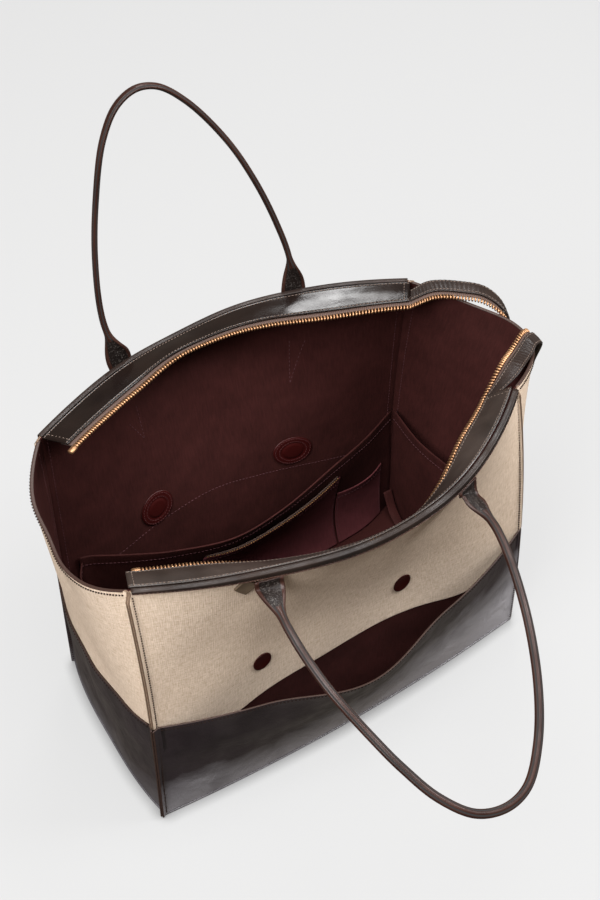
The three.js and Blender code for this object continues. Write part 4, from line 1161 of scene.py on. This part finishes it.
# Each handle has the places of its feet, its tilt from upright and its twist in degrees, its section, the
# length of its flat foot, its foot's points below the rim and out from it, and its loop's points.
handles = {
    "front": {"feet": (-0.47, 0.5), "tilt": 112, "tuck": [(5.7, 3.7), (13, 5)],
              "width": 7.8, "thick": 6.4, "flat": 6, "twist": 0,
              "loop": [(-8, 45), (-4, 98), (10, 158), (18, 184), (31, 215), (51, 239), (75, 246.5),
                       (99, 241), (126, 216), (154, 173), (180, 111), (194, 48)]},
    "back": {"feet": (-0.5, 0.44), "tilt": 10, "tuck": [(20, 3.7), (5, 5.4)],
             "width": 5.4, "thick": 9.4, "flat": 22, "twist": -38,
             "loop": [(1, 36), (11, 79), (27, 126), (49, 173), (82, 221), (107, 243), (127, 247),
                      (146, 238), (163, 213), (179, 163), (190, 109), (194, 50)]},
}
# The rolled strap is smooth and red-brown; its spade feet are blacker and creased, with pale specks painted
# for the glints of their grain.
strap_leather = polished_leather("rolled handle leather", "#1f100c", "#301c16", (0.34, 0.44), (0.14, 0.26),
                                 0.1, 0.02)
spade_leather = polished_leather("creased spade leather", "#0c0807", "#1a1412", (0.36, 0.5), (0.08, 0.22),
                                 1.2, 0.35, specks=0.18)
# The faces along a handle's sewn grooves are drawn near black.
groove_leather = plain_finish("blackened groove", "#0d0807", 0.9)


def from_ridge(turn):
    """Angle round a handle's section from the ridge in the middle of the nearer face."""
    return np.abs(np.abs(turn - np.pi) - np.pi / 2)


def handle_course(handle, rim, outward):
    """Course of a handle: a smooth curve from foot to foot round its tilted loop, and the loop's face."""
    along = unit(rim[1] - rim[0])
    away = unit(np.cross(along, UP))
    lean = math.radians(handle["tilt"])
    rise = UP * math.cos(lean) + away * math.sin(lean)
    facing = unit(np.cross(along, rise))
    facing = facing * np.sign(facing @ away)
    loop = [rim[0] + outward[0] * LOOP_OUT + along * x + rise * y for x, y in handle["loop"]]
    tucks = [[rim[k] + outward[k] * out - UP * below for below, out in handle["tuck"]] for k in (0, 1)]
    return smooth_path([*tucks[0], *loop, *tucks[1][::-1]], np.linspace(0, 1, 3000)), facing


for wall_name, handle in handles.items():
    rim, outward, _ = np.moveaxis(rim_frames(wall_name, np.array(handle["feet"])), 1, 0)
    course, facing = handle_course(handle, rim, outward)
    lengths = run_lengths(course)
    at = np.linspace(0, lengths[-1], 320)
    place = sample(course, lengths, at)
    way = unit(sample(course, lengths, at + 1) - sample(course, lengths, at - 1))
    # The strap turns from the wall's way at its feet to the loop's own face, and twists along the loop.
    end = np.minimum(at, lengths[-1] - at)[:, None]
    foot_way = np.where((at < lengths[-1] / 2)[:, None], outward[0], outward[1])
    look = foot_way + (facing - foot_way) * smooth(end, 0, SPADE_TAPER)
    taper = smooth(end, handle["flat"], handle["flat"] + SPADE_TAPER)
    turned = math.radians(handle["twist"]) * taper * np.cos(np.pi * at / lengths[-1])[:, None]
    look = look * np.cos(turned) + np.cross(way, look) * np.sin(turned)
    wide = unit(np.cross(way, look))
    deep = unit(np.cross(wide, way))
    # The section runs from a flat spade with piped rims to an oval with two pressed grooves on each face.
    turn = np.linspace(0, 2 * np.pi, SECTION_POINTS + 1)[:-1]
    piping = 0.5 + 1.9 * np.exp(-((np.abs(np.cos(turn)) - PIPING_AT) / PIPING_SPREAD) ** 2)
    swell = 1 + (1 - taper) * (piping - 1)
    groove = 1 - GROOVE_DEPTH * taper * np.exp(-((from_ridge(turn) - GROOVE_AT) / GROOVE_SPREAD) ** 2)
    x = np.cos(turn) * (SPADE_WIDTH + (handle["width"] - SPADE_WIDTH) * taper) / 2 * groove
    y = np.sin(turn) * (SPADE_THICK + (handle["thick"] - SPADE_THICK) * taper) / 2 * swell * groove
    rings = place[:, None] + x[..., None] * wide[:, None] + y[..., None] * deep[:, None]
    # The middle of the spade and the grooves have finishes of their own.
    face_turn = turn + np.pi / SECTION_POINTS
    core = (taper[1:] < 0.75) & (np.abs(np.cos(face_turn)) < SPADE_CORE)
    sunk = (taper[1:] > 0.6) & (np.abs(from_ridge(face_turn) - DARK_GROOVE_AT) < DARK_GROOVE_REACH)
    strap = bar_mesh(wall_name + "_handle_strap", rings, [strap_leather, spade_leather, groove_leather],
                     flat=True, finish=np.where(core, 1, np.where(sunk, 2, 0)))
    settle(strap, "trim", wall_name + "_handle")

# Dots, patches and tab: small leather pieces sewn flat to the walls.
# Round dots sit on the front canvas, oval patches with a sewn inner ring on the back lining, and a small
# diamond of leather on the front canvas under the rim.
DOT_HEIGHT = 150
DOT_SIZE = (18.5, 25.0)
PATCH_SEWN = -2.9
PATCH_RINGS = (0.9, 0.7)
DIAMOND_AT = -0.56
DIAMOND_DROP = 15.0
DIAMOND_SIZE = (19, 25)
# The dots and patches are dark red leather with a dull shine, the patches' thread a paler red.
dot_leather = plain_finish("dark red leather", "#2a0604", 0.45, 0.2)
patch_leather = plain_finish("red patch leather", "#2b0605", 0.45, 0.25)
red_thread = plain_finish("dark red thread", "#3c1213", 0.9)
# The diamond is taupe, waxed and a little cloudy.
tab_leather = polished_leather("taupe tab leather", "#493d31", "#635444", (0.4, 0.55), (0.15, 0.3),
                               0.25, 0.06)
# Each profile row is a share of the piece's size and an offset from the wall.
dot_profile = [(0.03, 1.8), (0.97, 1.8), (1.0, 2.1), (1.0, 2.7), (0.96, 3.0), (0.9, 3.05), (0.8, 2.9),
               (0.03, 2.75)]
patch_profile = [(0.03, -1.5), (0.97, -1.5), (1.0, -1.8), (1.0, -2.5), (0.96, -2.8), (0.66, -2.9),
                 (0.6, -2.5), (0.56, -2.5), (0.52, -3.1), (0.4, -3.3), (0.03, -3.4)]
tab_profile = [(0.03, 1.9), (0.97, 1.9), (1.0, 2.2), (1.0, 3.4), (0.95, 3.8), (0.86, 3.9), (0.78, 3.7),
               (0.03, 3.7)]
dots = {"left_dot": -0.455, "right_dot": 0.32}
patches = {"left_patch": {"place": (0.434, 149.3), "size": (35, 39.5), "tilt": 15},
           "right_patch": {"place": (-0.378, 136.7), "size": (47.5, 33), "tilt": 30}}


def button_outline(wall_name, z, size, power, tilt, turn):
    """Steps along and up a wall to a superellipse of the given power, turned by a tilt in degrees."""
    ends = [corner_at(walls[wall_name][key], np.array(float(z))) for key in ("start", "end")]
    half_span = np.linalg.norm(ends[1] - ends[0]) / 2
    reach = (np.abs(np.cos(turn)) ** power + np.abs(np.sin(turn)) ** power) ** (-1 / power)
    across, up = np.cos(turn) * reach * size[0] / 2, np.sin(turn) * reach * size[1] / 2
    lean = math.radians(tilt)
    return ((across * math.cos(lean) - up * math.sin(lean)) / half_span,
            across * math.sin(lean) + up * math.cos(lean))


def button_mesh(name, wall_name, s, z, size, profile, material, power=2, tilt=0.0):
    """A button on a wall: rings of its outline, each a share of its size at an offset from the wall."""
    along, up = button_outline(wall_name, z, size, power, tilt, np.linspace(0, 2 * np.pi, 65)[:-1])
    rings = [wall_point(wall_name, s + along * share, z + up * share, offset) for share, offset in profile]
    return bar_mesh(name, np.stack(rings), [material])


for node, s in dots.items():
    disc = button_mesh(node + "_disc", "front", s, DOT_HEIGHT, DOT_SIZE, dot_profile, dot_leather)
    settle(disc, "patch", node)
patch_runs = []
for node, patch in patches.items():
    s, z = patch["place"]
    oval = button_mesh(node + "_oval", "back", s, z, patch["size"], patch_profile, patch_leather,
                       tilt=patch["tilt"])
    settle(oval, "patch", node)
    along, up = button_outline("back", z, patch["size"], 2, patch["tilt"], np.linspace(0, 2 * np.pi, 80))
    for share in PATCH_RINGS:
        patch_runs.append(inside_run("back", s + along * share, z + up * share, PATCH_SEWN))
patch_stitches = stitch_mesh("patch_stitches", patch_runs, red_thread, pitch=3.0, thread=0.3)
settle(patch_stitches, "patch")
rim_tab = button_mesh("rim_tab_piece", "front", DIAMOND_AT, PANEL_HEIGHT - DIAMOND_DROP, DIAMOND_SIZE,
                      tab_profile, tab_leather, power=1.12)
settle(rim_tab, "leather", "rim_tab")

# Studio: a pale floor and far walls of paper that glow evenly, as a lit sweep does, and four soft lights.
# The paper neither lights nor mirrors in the bag, as in a picture that is cut out onto a plain ground.
FLOOR_REACH = 9.0
BACKDROP_TOP = 6.0
BACKDROP_FOOT = 0.5
CONTACT_REACH = 0.016
# The walls stand just outside the floor and reach below it, so that no dark line shows where they meet.
WALL_REACH = FLOOR_REACH + 2 * CONTACT_REACH
SQUARE = ((-1, -1), (1, -1), (1, 1), (-1, 1))
WORLD_STRENGTH = 0.18
floor_paper, paper_tree, paper_shader = new_material(
    "lit backdrop paper", {"Base Color": linear("#4a4a4a"), "Roughness": 0.9, "Specular IOR Level": 0.0,
                           "Emission Color": linear("#ffffff")})
# The glow fades within a finger's width of the bag, where the bag hides the light.
clear = add_node(paper_tree, "AmbientOcclusion", "AO", {"Distance": CONTACT_REACH})
glow = add_node(paper_tree, "MapRange", "Result", {"Value": clear, "From Min": 0.45, "From Max": 0.92,
                                                   "To Min": 0.28, "To Max": 0.645})
feed(paper_tree, paper_shader, {"Emission Strength": glow})


def paper_sheet(name, points, faces):
    """Flat sheets of backdrop paper through the given points, in metres."""
    mesh = bpy.data.meshes.new(name)
    mesh.from_pydata(points, [], faces)
    mesh.materials.append(floor_paper)
    paper = bpy.data.objects.new(name, mesh)
    bpy.context.scene.collection.objects.link(paper)
    paper.visible_diffuse = False
    paper.visible_glossy = False
    return paper


paper_sheet("studio_floor", [(FLOOR_REACH * x, FLOOR_REACH * y, 0.0) for x, y in SQUARE], [(0, 1, 2, 3)])
backdrop_points = [(WALL_REACH * x, WALL_REACH * y, z) for z in (-BACKDROP_FOOT, BACKDROP_TOP)
                   for x, y in SQUARE]
backdrop_faces = [(k, (k + 1) % 4, (k + 1) % 4 + 4, k + 4) for k in range(4)]
backdrop = paper_sheet("studio_backdrop", backdrop_points, backdrop_faces)
backdrop.visible_shadow = False
world = bpy.data.worlds.new("studio")
bpy.context.scene.world = world
world.use_nodes = True
feed(world.node_tree, world.node_tree.nodes["Background"],
     {"Color": linear("#fff0e0"), "Strength": WORLD_STRENGTH})


def aim(place, target):
    """Matrix of a thing at a place that looks along its own -Z at a target."""
    back = unit(np.asarray(place, float) - np.asarray(target, float))
    right = unit(np.cross(UP, back))
    up = np.cross(back, right)
    return Matrix([[right[k], up[k], back[k], place[k]] for k in range(3)] + [[0, 0, 0, 1]])


def soft_light(name, place, target, size, power):
    """A square softbox at a place in metres, aimed at a target."""
    lamp = bpy.data.lights.new(name, "AREA")
    lamp.size = size
    lamp.energy = power
    light = bpy.data.objects.new(name, lamp)
    bpy.context.scene.collection.objects.link(light)
    light.matrix_world = aim(place, target)


soft_light("overhead", place=(-0.35, -0.34, 2.45), target=(0.0, 0.0, 0.15), size=1.4, power=84)
soft_light("left_side", place=(-1.75, -0.8, 2.0), target=(0.0, 0.0, 0.2), size=1.2, power=89)
soft_light("right_side", place=(1.8, -0.8, 2.0), target=(0.0, 0.0, 0.2), size=1.1, power=88)
soft_light("behind", place=(0.8, 1.1, 2.1), target=(0.05, 0.05, 0.3), size=0.6, power=27)

# Camera: placed as in the photo, looking down over the front left corner.
# Its focal length was fitted in pixels of a picture that is 900 pixels high.
CAMERA_YAW = math.radians(33.95)
CAMERA_PITCH = math.radians(46.04)
CAMERA_TARGET = np.array([78.85, 91.77, 150.0])
CAMERA_DISTANCE = 1582.67
FOCAL_PIXELS = 1600.75
PICTURE_HEIGHT = 900
SENSOR = 36
camera_data = bpy.data.cameras.new("camera")
camera_data.sensor_width = SENSOR
camera_data.lens = FOCAL_PIXELS / PICTURE_HEIGHT * SENSOR
camera = bpy.data.objects.new("camera", camera_data)
bpy.context.scene.collection.objects.link(camera)
ahead = np.array([math.sin(CAMERA_YAW) * math.cos(CAMERA_PITCH),
                  math.cos(CAMERA_YAW) * math.cos(CAMERA_PITCH), -math.sin(CAMERA_PITCH)])
camera.matrix_world = aim((CAMERA_TARGET - ahead * CAMERA_DISTANCE) * MM, CAMERA_TARGET * MM)
bpy.context.scene.camera = camera
bpy.context.scene.view_settings.view_transform = "Standard"
